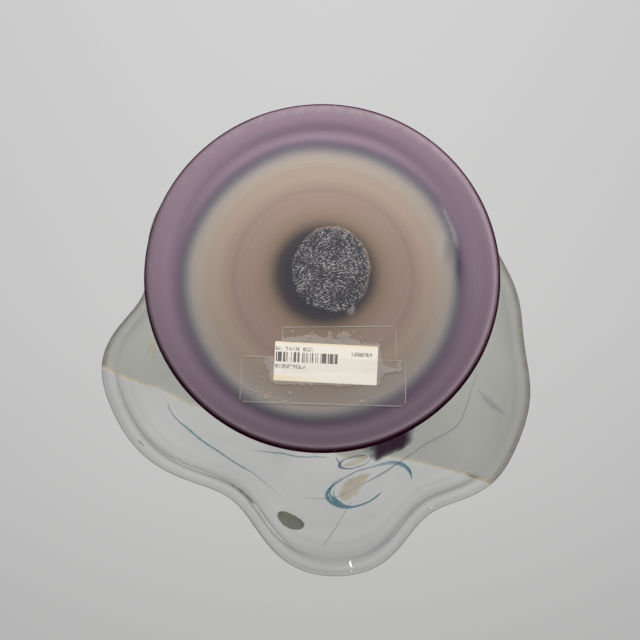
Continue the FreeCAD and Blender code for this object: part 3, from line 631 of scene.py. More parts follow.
def make_casing():
    prof = []                                     # (r, z) from the middle of the underside outwards and up
    for r in np.arange(0.8, 67.9, 0.7):
        prof.append((r, under_z(r)))
    prof += [(68.3, 0.0), (69.3, 0.0), (70.4, 0.0), (71.4, 0.0), (71.8, 0.0)]
    for u in np.radians(np.linspace(0, 90, 19)):
        prof.append((72.0 + (FOOT_R - 72.0) * math.sin(u), 3.6 * (1 - math.cos(u))))
    for z in np.linspace(3.6, SLOPE_Z, 9)[1:]:
        prof.append((FOOT_R - (FOOT_R - SLOPE_R) * ((z - 3.6) / (SLOPE_Z - 3.6)) ** 2, z))
    for i in range(1, 61):
        z = SLOPE_Z + (WAIST_Z - SLOPE_Z) * (i / 60.0) ** 1.2
        prof.append((body_r(z), z))
    n_out = len(prof)
    for i in range(36, 1, -1):                    # inside face of the casing
        z = SLOPE_Z + (WAIST_Z - SLOPE_Z) * (i / 36.0) ** 1.2
        h = 0.02
        dr = (body_r(min(z, 99.9)) - body_r(min(z, 99.9) - h)) / h
        L = math.hypot(1.0, dr)
        prof.append((body_r(z) - CASING_T / L, min(WAIST_Z, z + CASING_T * dr / L)) if i < 36 else (WAIST_R - CASING_T, WAIST_Z))
    prof += arc3((67.5, CASING_FLOOR), (70.1, 4.95), (71.1, 6.29), 8)[::-1]
    for r in (60.0, 40.0, 20.0):
        prof.append((r, CASING_FLOOR))
    P = np.array(prof)
    n, m = 360, len(P)
    t = np.linspace(0, 2 * math.pi, n, endpoint=False)
    R = P[:, 0][None, :] + 0 * t[:, None]
    Z = P[:, 1][None, :] + 0 * t[:, None]
    # hand blown: the flank wanders a little, the ground foot doesn't
    up = smooth(14.0, 40.0, P[:, 1]) * (1 - smooth(86.0, 100.0, P[:, 1]))
    R = R + up[None, :] * (0.35 * np.sin(3 * t + 0.6)[:, None] + 0.2 * np.sin(5 * t + 2.0)[:, None])
    under = (P[:, 1] <= RECESS_Z + 1e-6) & (np.arange(m) < n_out)
    Z = Z + np.where(under & (P[:, 0] < 64.0), 0.006 * np.sin(P[:, 0] * 0.9), 0.0)[None, :]
    X, Y = R * np.cos(t)[:, None], R * np.sin(t)[:, None]
    # colour rings sit off centre in the middle and true at the edge
    k1, k2 = smooth(22.0, 52.0, R), smooth(61.0, 72.5, R)
    cx = (1.0 + (-0.25 - 1.0) * k1) * (1 - k2)
    cy = (0.6 + (3.1 - 0.6) * k1) * (1 - k2)
    rad = np.hypot(X - cx, Y - cy)
    rad = rad + smooth(40, 56, R) * (1 - smooth(60, 70, R)) * (0.5 * np.sin(2 * t + 0.4) + 0.35 * np.sin(5 * t + 1.0))[:, None]
    hg = np.maximum(0.0, Z - 0.0)
    tt = t[:, None]
    lobe = {n_: np.maximum(0.0, np.cos(tt - math.radians(d_))) ** 1.6 for n_, d_ in (("r", 0), ("d", 90), ("l", 180), ("u", 270))}
    # painted shade: the dark edge line is widened by a different amount on each side
    rad = rad + smooth(70.6, 72.4, R) * (0.50 * lobe["d"] + 0.15 * lobe["l"] + 0.35 * lobe["r"] + 0.80 * lobe["u"])
    def bell(c, w_):
        return np.exp(-((R - c) / w_) ** 2)
    # painted light and shade: brighter and darker zones on the foot by direction round the axis, with a painted sheen
    # on one side of the edge and a darker edge on the others
    gain = 1.0 + lobe["u"] * (0.20 * bell(59.0, 1.6) - 0.22 * bell(63.3, 2.4) + 0.05 * bell(67.5, 1.5) - 0.2 * bell(73.7, 0.6))
    gain = gain - lobe["d"] * (0.29 * bell(63.0, 2.6) + 0.14 * smooth(66, 69, R) + 0.1 * bell(73.8, 0.6) - 0.45 * bell(72.2, 0.75))
    gain = gain - lobe["u"] * (0.09 * smooth(38, 46, R) * (1 - smooth(55, 58, R)) + 0.14 * smooth(60, 62.5, R))
    gain = gain - lobe["d"] * 0.16 * smooth(44, 48, R) * (1 - smooth(54, 57, R)) + lobe["l"] * 0.12 * smooth(62, 65, R) * (1 - smooth(69, 71, R))
    gain = gain - lobe["l"] * 0.25 * bell(73.0, 1.0) + lobe["r"] * 0.45 * bell(71.9, 0.9) - 0.3 * lobe["u"] * smooth(72.9, 73.7, R)
    sm = np.exp(-(((X - 57.0) / 1.4) ** 2 + ((Y + 2.5) / 7.5) ** 2) ** 1.0) + 0.35 * np.exp(-(((X - 52.5) / 2.0) ** 2 + ((Y + 9) / 5.0) ** 2))
    a = np.degrees(np.arctan2(Y, X))
    rub = np.exp(-((R - 57.6) / 0.9) ** 2) * smooth(-32, -24, a) * (1 - smooth(-15, -9, a))
    rub += 0.9 * np.exp(-(((X - 49.5) / 2.2) ** 2 + ((Y + 12.5) / 6.0) ** 2))
    # painted sheen: lighter grey on the foot's rounded edge, on two sides
    rub += 0.6 * lobe["u"] * bell(71.2, 1.5) + 0.25 * lobe["r"] * bell(72.4, 1.0)
    rub += 1.2 * np.exp(-(((X - 11.7) / 1.7) ** 2 + ((Y - 15.2) / 2.6) ** 2) ** 2)
    q = Quilt()
    q.add(np.stack([X, Y, Z], -1), rad=rad.ravel(), hgt=hg.ravel(), smudge=sm.ravel(), rub=rub.ravel(), gain=gain.ravel())
    I = np.arange(n * m).reshape(n, m)
    q.quads(I, wrap=True, flip=False)
    c0 = q.add([(0, 0, RECESS_Z)], rad=[0.0], hgt=[0.0], smudge=[0.0], rub=[0.0], gain=[1.0])
    c1 = q.add([(0, 0, CASING_FLOOR)], rad=[0.0], hgt=[CASING_FLOOR], smudge=[0.0], rub=[0.0], gain=[1.0])
    for i in range(n):
        j = (i + 1) % n
        q.f.append([c0, I[j, 0], I[i, 0]])
        q.m.append(0)
        q.f.append([c1, I[i, m - 1], I[j, m - 1]])
        q.m.append(0)
    # the ground edge has a matt skin of its own
    edge = np.where((P[:, 0] > 71.9) & (P[:, 1] < 5.6) & (np.arange(m) < n_out))[0]
    lo, hi = edge.min(), edge.max()
    for fi, f in enumerate(q.f):
        if max(f) < n * m and all(lo <= v_ % m <= hi for v_ in f):
            q.m[fi] = 1
    return mesh_piece("Satin_casing", q.v, q.f, [M_casing, M_edge], q.m, q.a, stands_for=["base_casing"], sharp=60)


casing = make_casing()


# ------------------------------------------------------------------ flare: two sheets and the amber seam
def flare_piece(name, t0, t1, nu, material, slot, node, sheet_kind):
    nv = 76
    vv = np.r_[np.linspace(0, 0.88, 52) ** 0.94, np.linspace(0.88, 1, 34)[1:]]
    vv[51] = 0.5 * (vv[50] + vv[52])
    nv = len(vv)
    U = np.linspace(0, 1, nu)
    if nu > 20:
        near = np.array([0.35, 0.75, 1.2, 1.8]) / (1.9 * nu)
        U = np.sort(np.r_[U, near, 1 - near])
        nu = len(U)
    U = U[:, None]
    a, b = np.radians(t0(vv))[None, :], np.radians(t1(vv))[None, :]
    T = a + (b - a) * U
    Vv = np.broadcast_to(vv[None, :], T.shape)
    O = S(T, Vv)
    N = NRM(T, Vv)
    # the sheet's thickness: a fat bead behind the lip and faint tooling ripples that follow the rim
    arc = (1 - Vv) * 118.0                                   # rough distance from the edge, mm
    w = wall(Vv)
    fat = 1.0 if sheet_kind != "grey" else 0.45
    pull = arc + 1.0 * np.sin(2 * T + 1.0) + 0.6 * np.sin(5 * T)
    w = w + fat * (1.12 * np.exp(-((arc - 1.8) / 2.6) ** 2) + 0.22 * (1 - smooth(2.0, 7.0, pull))) * smooth(0.0, 0.8, arc)
    w = w + fat * (0.17 * np.exp(-((pull - 9.5) / 1.3) ** 2) + 0.14 * np.exp(-((pull - 15.5) / 1.8) ** 2))
    w = w + fat * 0.05 * np.sin(pull * 0.55) * (1 - smooth(18, 60, arc)) * smooth(6.0, 14.0, arc)
    I_ = O - N * w[..., None]
    d = unit(S(T[:, -1], np.ones(nu)) - S(T[:, -1], np.full(nu, 0.995)))
    seg = 12
    s = np.linspace(0, 1, seg + 1)[1:-1]
    o1, i1 = O[:, -1], I_[:, -1]
    kk = LIP_OUT * 4.0 / 3.0
    bo, bi = o1 + d * kk, i1 + d * kk
    lip = ((1 - s) ** 3)[None, :, None] * o1[:, None] + (3 * (1 - s) ** 2 * s)[None, :, None] * bo[:, None] \
        + (3 * (1 - s) * s * s)[None, :, None] * bi[:, None] + (s ** 3)[None, :, None] * i1[:, None]
    azc = np.broadcast_to(np.cos(T - 0.7), T.shape)
    veil_o = 1 - smooth(0.18, 0.66, Vv) + 0.10 * np.sin(3 * T + 1.3) * smooth(0.1, 0.3, Vv) * smooth(0.8, 0.5, Vv)
    veil_i = 1 - smooth(0.05, 0.42, Vv) + 0.08 * np.sin(2 * T + 0.3)
    edge_am = np.zeros_like(T)
    far = np.minimum(U, 1 - U) * (b - a) * np.hypot(O[..., 0], O[..., 1])
    glow = np.exp(-(far / 0.75) ** 1.5) * smooth(0.35, 0.62, Vv) if sheet_kind != "seam" else 0 * Vv
    if sheet_kind == "grey":
        edge_am = smooth(0.985, 1.0, Vv) * 0.55
    q = Quilt()
    q.add(O, v=Vv.ravel(), side=0.0, veil=veil_o.ravel(), az=azc.ravel(), amber=edge_am.ravel(), glow=glow.ravel())
    q.add(I_, v=Vv.ravel(), side=1.0, veil=veil_i.ravel(), az=azc.ravel(), amber=(0 * Vv).ravel(), glow=glow.ravel())
    la = np.broadcast_to(s[None, :], lip.shape[:2])
    am = np.zeros(lip.shape[:2]) if sheet_kind != "grey" else np.exp(-((la - 0.22) / 0.16) ** 2) * 0.9
    q.add(lip, v=1.0 + 0 * la.ravel(), side=la.ravel(), veil=(0 * la).ravel(), az=np.broadcast_to(azc[:, -1:], la.shape).ravel(), amber=am.ravel(), glow=np.broadcast_to(glow[:, -1:], la.shape).ravel())
    q.a = {k_: np.asarray(v_) for k_, v_ in q.a.items()}
    A = np.arange(nu * nv).reshape(nu, nv)
    B = A + nu * nv
    L = np.arange(nu * (seg - 1)).reshape(nu, seg - 1) + 2 * nu * nv
    ring = np.hstack([A, L, B[:, ::-1]])
    q.quads(ring, 0, flip=True)
    # neck face and the two faces where the sheets are fused
    q.quads(np.stack([B[:, 0], A[:, 0]], 1), 1, flip=True)
    for side, fl in ((0, True), (nu - 1, False)):
        q.quads(np.stack([A[side], B[side]], 1), 1, flip=not fl)
        # cap of the lip
        loop = [A[side, -1]] + list(L[side]) + [B[side, -1]]
        half = len(loop) // 2
        for i in range(half):
            j = len(loop) - 1 - i
            quad = [loop[i], loop[i + 1], loop[j - 1], loop[j]]
            quad = [k_ for n_, k_ in enumerate(quad) if k_ != quad[n_ - 1]]
            if len(set(quad)) < 3:
                continue
            q.f.append(quad if fl else quad[::-1])
            q.m.append(1)
    return q, ring


def build_flare(name, t0, t1, nu, material, slot, node, kind):
    q, _ = flare_piece(name, t0, t1, nu, material, slot, node, kind)
    return mesh_piece(name, q.v, q.f, [material, M_fused], q.m, q.a, stands_for=[node], sharp=50)


clear = build_flare("Clear_sheet", lambda v: sr(v) + half_w(v), lambda v: sl(v) - half_w(v), 170, M_clear, "clear_glass", "flare_clear", "clear")
grey = build_flare("Grey_sheet", lambda v: sl(v), lambda v: sr(v) + 360.0, 260, M_grey, "grey_opal", "flare_grey", "grey")


def build_seam(name, t0, t1, slot, node, brown):
    q, _ = flare_piece(name, t0, t1, 5, M_seam, slot, node, "seam")
    P = np.asarray(q.v)
    r = np.hypot(P[:, 0], P[:, 1])
    bs = np.zeros(len(P))
    for c, w_, amp in brown:
        bs += amp * np.exp(-((q.a["v"] - c) / w_) ** 4)
    q.a["brown"] = np.clip(bs, 0, 1)
    return mesh_piece(name, q.v, q.f, [M_seam, M_fused], q.m, q.a, stands_for=[node], sharp=50)


seam_r = build_seam("Amber_seam_right", lambda v: sr(v), lambda v: sr(v) + half_w(v), "amber_glass", "amber_seam_right",
                    [(0.945, 0.016, 1.0), (0.985, 0.03, 0.5), (0.57, 0.05, 0.4)])
seam_l = build_seam("Amber_seam_left", lambda v: sl(v) - half_w(v), lambda v: sl(v), "amber_glass", "amber_seam_left",
                    [(0.72, 0.03, 0.35), (0.86, 0.03, 0.25)])


# ------------------------------------------------------------------ threads, swirls and patches on the sheet
def stroke(name, pts, width, height, material, node, inside=False, end=0.3, oval=False, nx=11, step=0.9,
           dens=None, wob=0.0, seed=1):
    P = np.array([(math.radians(a), b) for a, b in pts])
    ext = np.vstack([2 * P[0] - P[1], P, 2 * P[-1] - P[-2]])
    dense = []
    for i in range(1, len(ext) - 2):
        p0, p1, p2, p3 = ext[i - 1:i + 3]
        s = np.linspace(0, 1, 24, endpoint=False)[:, None]
        dense.append(0.5 * (2 * p1 + (p2 - p0) * s + (2 * p0 - 5 * p1 + 4 * p2 - p3) * s * s + (-p0 + 3 * p1 - 3 * p2 + p3) * s ** 3))
    D = np.vstack(dense + [P[-1:]])
    X = S(D[:, 0], D[:, 1])
    L = np.r_[0, np.cumsum(np.linalg.norm(np.diff(X, axis=0), axis=1))]
    n = int(max(14, L[-1] / step))
    g = np.linspace(0, 1, n)
    t = np.interp(g * L[-1], L, D[:, 0])
    v = np.interp(g * L[-1], L, D[:, 1])
    # smooth the path a little so strokes have no corners
    for _ in range(2):
        t[1:-1] = 0.25 * t[:-2] + 0.5 * t[1:-1] + 0.25 * t[2:]
        v[1:-1] = 0.25 * v[:-2] + 0.5 * v[1:-1] + 0.25 * v[2:]
    wf = (lambda s: np.full_like(s, width)) if isinstance(width, (int, float)) else monotone(width)
    w = wf(g)
    if wob:
        w = w * (1 + wob * lumps(g * L[-1], 0 * g, seed, 0.9))
    if oval:
        w = w * np.maximum(end, np.sqrt(np.maximum(0.0, 1 - (2 * g - 1) ** 2)))
    else:
        w = w * (end + (1 - end) * np.minimum(1.0, (1 - np.abs(2 * g - 1)) * max(2.0, L[-1] / 9.0)))
    C = S(t, v)
    d = unit(np.gradient(C, axis=0))
    h = 1e-4
    ta = (S(t + h, v) - S(t - h, v)) / (2 * h)
    tb = (S(t, v + h) - S(t, v - h)) / (2 * h)
    la_, lb_ = np.linalg.norm(ta, axis=1), np.linalg.norm(tb, axis=1)
    ua, ub = ta / la_[:, None], tb / lb_[:, None]
    nn = NRM(t, v)
    lat = unit(np.cross(nn, d))
    ab = (ua * ub).sum(1)
    A_, B_ = (lat * ua).sum(1), (lat * ub).sum(1)
    ca, cb = (A_ - B_ * ab) / (1 - ab * ab), (B_ - A_ * ab) / (1 - ab * ab)
    x = np.linspace(-1, 1, nx)
    tt = t[:, None] + (ca * w / la_)[:, None] * x
    vv = np.minimum(v[:, None] + (cb * w / lb_)[:, None] * x, 0.998)
    N = NRM(tt, vv)
    base = S(tt, vv)
    if inside:
        arc = (1 - vv) * 118.0
        base = base - N * (wall(vv))[..., None]
        N = -N
    endf = np.sqrt(np.clip(1 - (2 * g - 1) ** 12, 0, 1))
    prof = (1 - x * x)
    rim = (np.abs(x) > 0.999)[None, :] | (np.arange(n) == 0)[:, None] | (np.arange(n) == n - 1)[:, None]
    up = np.where(rim, -0.03, -0.03 + (height + 0.03) * prof[None, :] * endf[:, None])
    dn = np.where(rim, -0.03, -0.16 - 0.05 * prof[None, :])
    top, low = base + N * up[..., None], base + N * dn[..., None]
    e = np.broadcast_to((1 - np.abs(x))[None, :], tt.shape)
    if oval:
        e = np.minimum(e, 1.0) * 1.0
    e = np.minimum(e, (np.minimum(g, 1 - g) * L[-1] / np.maximum(0.35, w))[:, None] + 0.12)
    sg = np.broadcast_to(g[:, None], tt.shape)
    dn_f = np.ones_like(g) if dens is None else monotone(dens)(g)
    dd = np.broadcast_to(dn_f[:, None], tt.shape)
    q = Quilt()
    lt = np.broadcast_to(x[None, :] * (w / 1.5)[:, None], tt.shape)
    q.add(top, e=e.ravel(), s=sg.ravel(), dens=dd.ravel(), lat=lt.ravel())
    T_ = np.arange(n * nx).reshape(n, nx)
    keep = ~rim
    low_idx = T_.copy()
    k0 = q.add(low[keep], e=e[keep], s=sg[keep], dens=dd[keep], lat=lt[keep])
    low_idx[keep] = np.arange(keep.sum()) + k0
    q.quads(T_, 0, flip=inside)
    q.quads(low_idx, 0, flip=not inside)
    # orient: outward faces
    ob = mesh_piece(name, q.v, q.f, [material], q.m, q.a, stands_for=[node] if node else ())
    return ob


stroke("Blue_thread_left", [(159.1, 0.7986), (155.7, 0.8092), (151.1, 0.8055), (146.5, 0.7982), (136.2, 0.8108),
                            (124.4, 0.839), (112.2, 0.8153), (101.1, 0.7884)],
       [(0, 0.7), (0.3, 1.2), (0.6, 1.0), (1, 0.5)], 0.25, M_thread, "blue_thread_left",
       dens=[(0, 0.35), (0.12, 0.8), (0.3, 1.1), (0.55, 0.9), (0.75, 0.4), (1, 0.15)], wob=0.2, seed=2)
stroke("Blue_thread_waist", [(125.0, 0.735), (121.8, 0.711), (114.0, 0.645), (107.4, 0.5893), (94.3, 0.5333), (86.5, 0.528)],
       [(0, 0.5), (0.5, 1.0), (1, 0.7)], 0.25, M_thread, "blue_thread_waist",
       dens=[(0, 0.2), (0.3, 0.7), (0.7, 0.9), (1, 0.7)], seed=3)
stroke("Blue_thread_right", [(6.71, 0.7961), (16.95, 0.7766), (29.56, 0.7762), (38.65, 0.7401), (45.53, 0.7296), (48.77, 0.7411),
                             (55.12, 0.752), (61.44, 0.744), (66.4, 0.7261), (72.53, 0.7119), (77.26, 0.7165), (83.16, 0.7321),
                             (88.98, 0.7415), (93.27, 0.7489), (98.06, 0.755)],
       [(0, 0.6), (0.35, 0.9), (0.5, 0.8), (0.6, 1.2), (0.66, 1.1), (0.74, 0.6), (1, 0.4)], 0.25, M_threadr,
       "blue_thread_right", inside=True, dens=[(0, 0.45), (0.3, 0.8), (0.5, 0.85), (0.6, 1.0), (0.75, 0.75), (1, 0.4)], seed=4)
stroke("Smoky_streak", [(15.7, 0.7999), (18.2, 0.8637), (20.3, 0.9484)], [(0, 1.8), (0.5, 3.4), (1, 2.2)], 0.2, M_smoke,
       "smoky_streak", inside=True, dens=[(0, 0.3), (0.5, 0.8), (1, 0.4)], seed=5)
stroke("Fine_dark_thread", [(77.4, 0.752), (79.6, 0.7701), (82.6, 0.8128), (86.1, 0.866), (89.8, 0.9228)], 0.5, 0.2, M_fine,
       "fine_dark_thread", inside=True, dens=[(0, 0.5), (0.5, 0.9), (1, 1.0)], seed=6)
stroke("Blue_swirl_large", [(55.66, 0.844), (54.78, 0.8085), (55.39, 0.7681), (58.32, 0.7231), (62.85, 0.686), (67.89, 0.6552),
                            (73.81, 0.6311), (79.53, 0.638), (84.31, 0.6634), (87.19, 0.6924), (88.13, 0.7172), (87.25, 0.7385),
                            (85.48, 0.7542), (82.79, 0.7684), (80.06, 0.7753), (76.51, 0.7797), (72.7, 0.7842), (69.74, 0.7857),
                            (67.73, 0.7882)],
       [(0, 0.6), (0.05, 1.1), (0.14, 1.7), (0.24, 1.3), (0.34, 0.65), (0.54, 0.6), (0.62, 1.25), (0.72, 1.5), (0.84, 0.85), (1, 0.75)],
       0.3, M_swirl, "blue_swirl_large", nx=15, step=0.6,
       dens=[(0, 1.2), (0.05, 1.1), (0.14, 0.8), (0.24, 0.62), (0.4, 0.7), (0.52, 0.85), (0.6, 1.05), (0.75, 1.05), (0.9, 0.9), (1, 1.1)], wob=0.1, seed=7)
stroke("Blue_swirl_strand_a", [(80.0, 0.6405), (84.0, 0.6494), (86.37, 0.6787), (86.87, 0.7058), (86.06, 0.7299), (84.39, 0.7499), (80.6, 0.768)],
       [(0, 0.35), (0.45, 0.8), (0.75, 1.1), (1, 0.5)], 0.2, M_swirl, None, nx=9, step=0.5,
       dens=[(0, 0.3), (0.4, 0.55), (0.7, 1.0), (1, 0.6)], wob=0.3, seed=17)
stroke("Blue_swirl_strand_b", [(84.4, 0.680), (85.4, 0.6972), (85.4, 0.7192), (84.6, 0.7369), (82.4, 0.7576)],
       [(0, 0.3), (0.5, 0.6), (0.8, 0.95), (1, 0.4)], 0.18, M_swirl, None, nx=9, step=0.5,
       dens=[(0, 0.25), (0.4, 0.6), (0.75, 1.0), (1, 0.5)], wob=0.3, seed=18)
stroke("Blue_loop_small", [(66.77, 0.587), (67.02, 0.6087), (69.95, 0.6175), (73.72, 0.6119), (78.24, 0.6037), (81.54, 0.5891),
                           (82.24, 0.5785), (81.08, 0.5589), (78.14, 0.5474), (73.28, 0.5552), (68.5, 0.5811)],
       [(0, 0.7), (0.15, 0.55), (0.4, 0.7), (0.55, 1.0), (0.7, 0.7), (1, 0.6)], 0.22, M_loop, "blue_loop_small",
       step=0.5, dens=[(0, 1.0), (0.2, 0.6), (0.4, 0.9), (0.55, 1.1), (0.75, 0.7), (1, 1.0)], wob=0.2, seed=8)
stroke("Blue_loop_strand", [(83.45, 0.5203), (82.71, 0.5451), (81.78, 0.5685), (80.06, 0.5959)], [(0, 0.4), (0.5, 0.6), (1, 0.4)], 0.15,
       M_loop, None, nx=9, step=0.5, dens=[(0, 0.4), (0.5, 0.7), (1, 0.4)], seed=19)
stroke("Peach_patch_large", [(82.35, 0.7418), (79.91, 0.7099), (75.81, 0.6833), (70.07, 0.6748)],
       [(0, 7.4), (0.35, 8.4), (0.7, 5.6), (1, 3.0)], 0.18, M_peach, "peach_patch_large", oval=True, nx=17, wob=0.3, seed=9)
stroke("Peach_patch_small", [(79.87, 0.5805), (75.17, 0.5809), (68.7, 0.5934)], 3.0, 0.15, M_peach,
       "peach_patch_small", oval=True, step=0.5, nx=13, seed=10)
stroke("Peach_fleck_left", [(181.0, 0.825), (174.4, 0.8108)], [(0, 2.0), (1, 3.4)], 0.2, M_peach,
       "peach_fleck_left", end=0.5, oval=True, step=0.6, seed=11)
stroke("Olive_dot", [(104.6, 0.8781), (99.9, 0.8640), (95.4, 0.8561)], 5.3, 0.8, M_olive, "olive_dot",
       end=0.12, oval=True, nx=19, step=0.4, seed=12)
stroke("Olive_streak", [(125.9, 0.9527), (120.7, 0.9489), (116.5, 0.9462), (112.9, 0.941)],
       [(0, 0.4), (0.6, 1.7), (0.93, 1.5), (1, 0.7)], 0.25, M_streak, "olive_streak",
       dens=[(0, 0.2), (0.5, 0.8), (0.8, 1.0), (1, 0.9)], step=0.5, wob=0.3, seed=13)
stroke("Dark_dash", [(152.8, 0.985), (150.6, 0.983)], 0.7, 0.2, M_streak, "dark_dash", oval=True, step=0.3, seed=14)
stroke("Purple_flame", [(64.0, 0.02), (60.5, 0.25), (57.0, 0.45), (55.0, 0.57), (59.0, 0.672)],
       [(0, 22.0), (0.5, 21.0), (0.8, 18.5), (1, 14.0)], 0.35, M_flame, "purple_flame", end=0.7, nx=25,
       wob=0.05, seed=15)


# ------------------------------------------------------------------ pontil scar, label and tape under the foot
def make_pontil():
    n, m = 120, 44
    t = np.linspace(0, 2 * math.pi, n, endpoint=False)
    s = np.linspace(0.03, 1.0, m)
    y = np.cos(t)
    w = 16.5 * (1.0 + 0.06 * y + 0.015 * np.sin(3 * t + 0.6)) * (1 + 0.012 * np.sin(7 * t + 2) + 0.01 * np.sin(13 * t))
    ex, ey = w * np.sin(t), 18.5 * y * (1 + 0.01 * np.sin(9 * t + 1))
    X = 3.9 + ex[:, None] * s
    Y = -1.6 + ey[:, None] * s
    Zb = 0.60 + 0.05 * lumps(X, Y, 4, 1.6) + 0.06 * lumps(X, Y, 5, 0.35) + 0.22 * smooth(0.955, 1.0, s)[None, :]
    Zb = np.clip(Zb, 0.47, 0.86)
    q = Quilt()
    ed = np.broadcast_to(smooth(0.90, 0.99, s)[None, :], X.shape)
    q.add(np.stack([X, Y, Zb], -1), edge=ed.ravel())
    q.add(np.stack([X[:, -1], Y[:, -1], np.full(n, 1.6)], -1), edge=1.0)
    I = np.arange(n * m).reshape(n, m)
    ring = np.hstack([I, (np.arange(n) + n * m)[:, None]])
    q.quads(ring, 0, wrap=True, flip=True)
    c0 = q.add([(3.9, -1.6, float(Zb[:, 0].mean()))], edge=[0.0])
    c1 = q.add([(3.9, -1.6, 1.6)], edge=[0.0])
    for i in range(n):
        j = (i + 1) % n
        q.f.append([c0, I[i, 0], I[j, 0]])
        q.m.append(0)
        q.f.append([c1, ring[j, -1], ring[i, -1]])
        q.m.append(0)
    return mesh_piece("Pontil_scar", q.v, q.f, [M_pontil], q.m, q.a, stands_for=["pontil_scar"], sharp=70)


make_pontil()


def plate(name, at, w, h, z0, z1, nx, ny, material, node, attr_fn, warp, round_r=0.4):
    """Thin closed sheet with round corners; z0 is the side that faces down."""
    cx, cy, ang = at
    a = math.radians(ang)
    gx = np.linspace(-1, 1, nx)
    gy = np.linspace(-1, 1, ny)
    GX, GY = np.meshgrid(gx, gy, indexing="ij")
    lx, ly = GX * w / 2, GY * h / 2
    # pull the corners in to a small radius
    ix, iy = np.abs(lx) - (w / 2 - round_r), np.abs(ly) - (h / 2 - round_r)
    both = (ix > 0) & (iy > 0)
    L = np.maximum(np.hypot(ix, iy), 1e-9)
    k = np.where(both, np.maximum(ix, iy) / L, 1.0)
    lx = np.where(both, np.sign(lx) * (w / 2 - round_r + ix * k), lx)
    ly = np.where(both, np.sign(ly) * (h / 2 - round_r + iy * k), ly)
    X = cx + lx * math.cos(a) - ly * math.sin(a)
    Y = cy + lx * math.sin(a) + ly * math.cos(a)
    wz = warp(lx, ly) - (0.8 - under_z(np.hypot(X, Y)))
    att = attr_fn(X, Y, lx, ly)
    q = Quilt()
    q.add(np.stack([X, Y, z0 + wz], -1), **{k_: v_.ravel() for k_, v_ in att.items()})
    q.add(np.stack([X, Y, z1 + wz], -1), **{k_: v_.ravel() for k_, v_ in att.items()})
    A = np.arange(nx * ny).reshape(nx, ny)
    B = A + nx * ny
    q.quads(A, 0, flip=True)
    q.quads(B, 0)
    for ln, fl in ((0, False), (1, True)):
        q.quads(np.stack([A[:, 0], B[:, 0]], 1) if ln == 0 else np.stack([A[:, -1], B[:, -1]], 1), 0, flip=not fl if ln == 0 else not fl)
        q.quads(np.stack([A[0], B[0]], 1) if ln == 0 else np.stack([A[-1], B[-1]], 1), 0, flip=fl if ln == 0 else fl)
    ob = mesh_piece(name, q.v, q.f, [material], q.m, q.a, stands_for=[node], sharp=40)
    return ob


LABEL_AT, TAPE_A_AT, TAPE_B_AT = (1.5, 38.1, 2.9), (7.1, 32.3, -0.5), (0.4, 45.5, 1.7)
plate("Price_label", LABEL_AT, 42.4, 16.2, 0.66, 0.78, 60, 24, M_label, "price_label",
      lambda X, Y, lx, ly: {"lu": lx + 21.2, "lv": ly + 8.1},
      lambda lx, ly: 0.02 * lumps(lx, ly, 21, 0.35), 0.25)

CLOUD = [(-23.6, 35.5), (-19.8, 36.0), (-19.8, 29.3), (-16.3, 29.3), (-16.3, 27.7), (-9.2, 27.0), (-6.4, 26.2), (-2.6, 26.2), (0.2, 27.7),
         (5.4, 28.2), (9.7, 27.4), (14.9, 28.9), (16.3, 29.8), (23.9, 30.1), (24.5, 38.6), (27.1, 39.8), (31.3, 40.5), (31.1, 37.4),
         (32.3, 37.4), (32.4, 41.5), (27.0, 42.2), (25.1, 42.9), (23.5, 47.1), (16.2, 46.9), (6.8, 47.8), (3.1, 47.1), (-7.3, 47.1),
         (-19.2, 46.9), (-21.4, 45.2), (-22.3, 41.0), (-23.2, 39.1)]
BLOBS = [(3.0, 27.4, 1.2), (7.4, 26.8, 1.5), (9.8, 26.7, 1.7), (-20.9, 50.4, 0.5), (-20.8, 51.8, 0.55), (3.1, 25.8, 1.0), (8.8, 26.2, 1.3), (-12.1, 25.0, 0.5), (13.0, 25.0, 0.5), (15.6, 27.4, 0.45), (23.8, 28.6, 0.35), (-26.9, 48.5, 0.5),
         (-30.7, 48.1, 0.45), (-24.7, 43.6, 0.5), (-22.9, 51.8, 0.95), (-16.1, 53.8, 0.7), (-14.5, 53.5, 0.6), (-12.9, 50.3, 0.8),
         (16.1, 53.9, 0.8), (-4.3, 25.6, 0.6), (-28.8, 49.0, 0.5), (-26.9, 49.7, 0.6)]


def inside_dist(X, Y, poly):
    """Signed distance to a closed outline, positive inside."""
    p = np.array(poly)
    q = np.roll(p, -1, axis=0)
    best = np.full(X.shape, 1e9)
    cross = np.zeros(X.shape, bool)
    for (x0, y0), (x1, y1) in zip(p, q):
        dx, dy = x1 - x0, y1 - y0
        s = np.clip(((X - x0) * dx + (Y - y0) * dy) / (dx * dx + dy * dy), 0, 1)
        best = np.minimum(best, np.hypot(X - x0 - s * dx, Y - y0 - s * dy))
        hit = ((y0 > Y) != (y1 > Y)) & (X < (x1 - x0) * (Y - y0) / ((y1 - y0) if y1 != y0 else 1e-9) + x0)
        cross ^= hit
    return np.where(cross, best, -best)


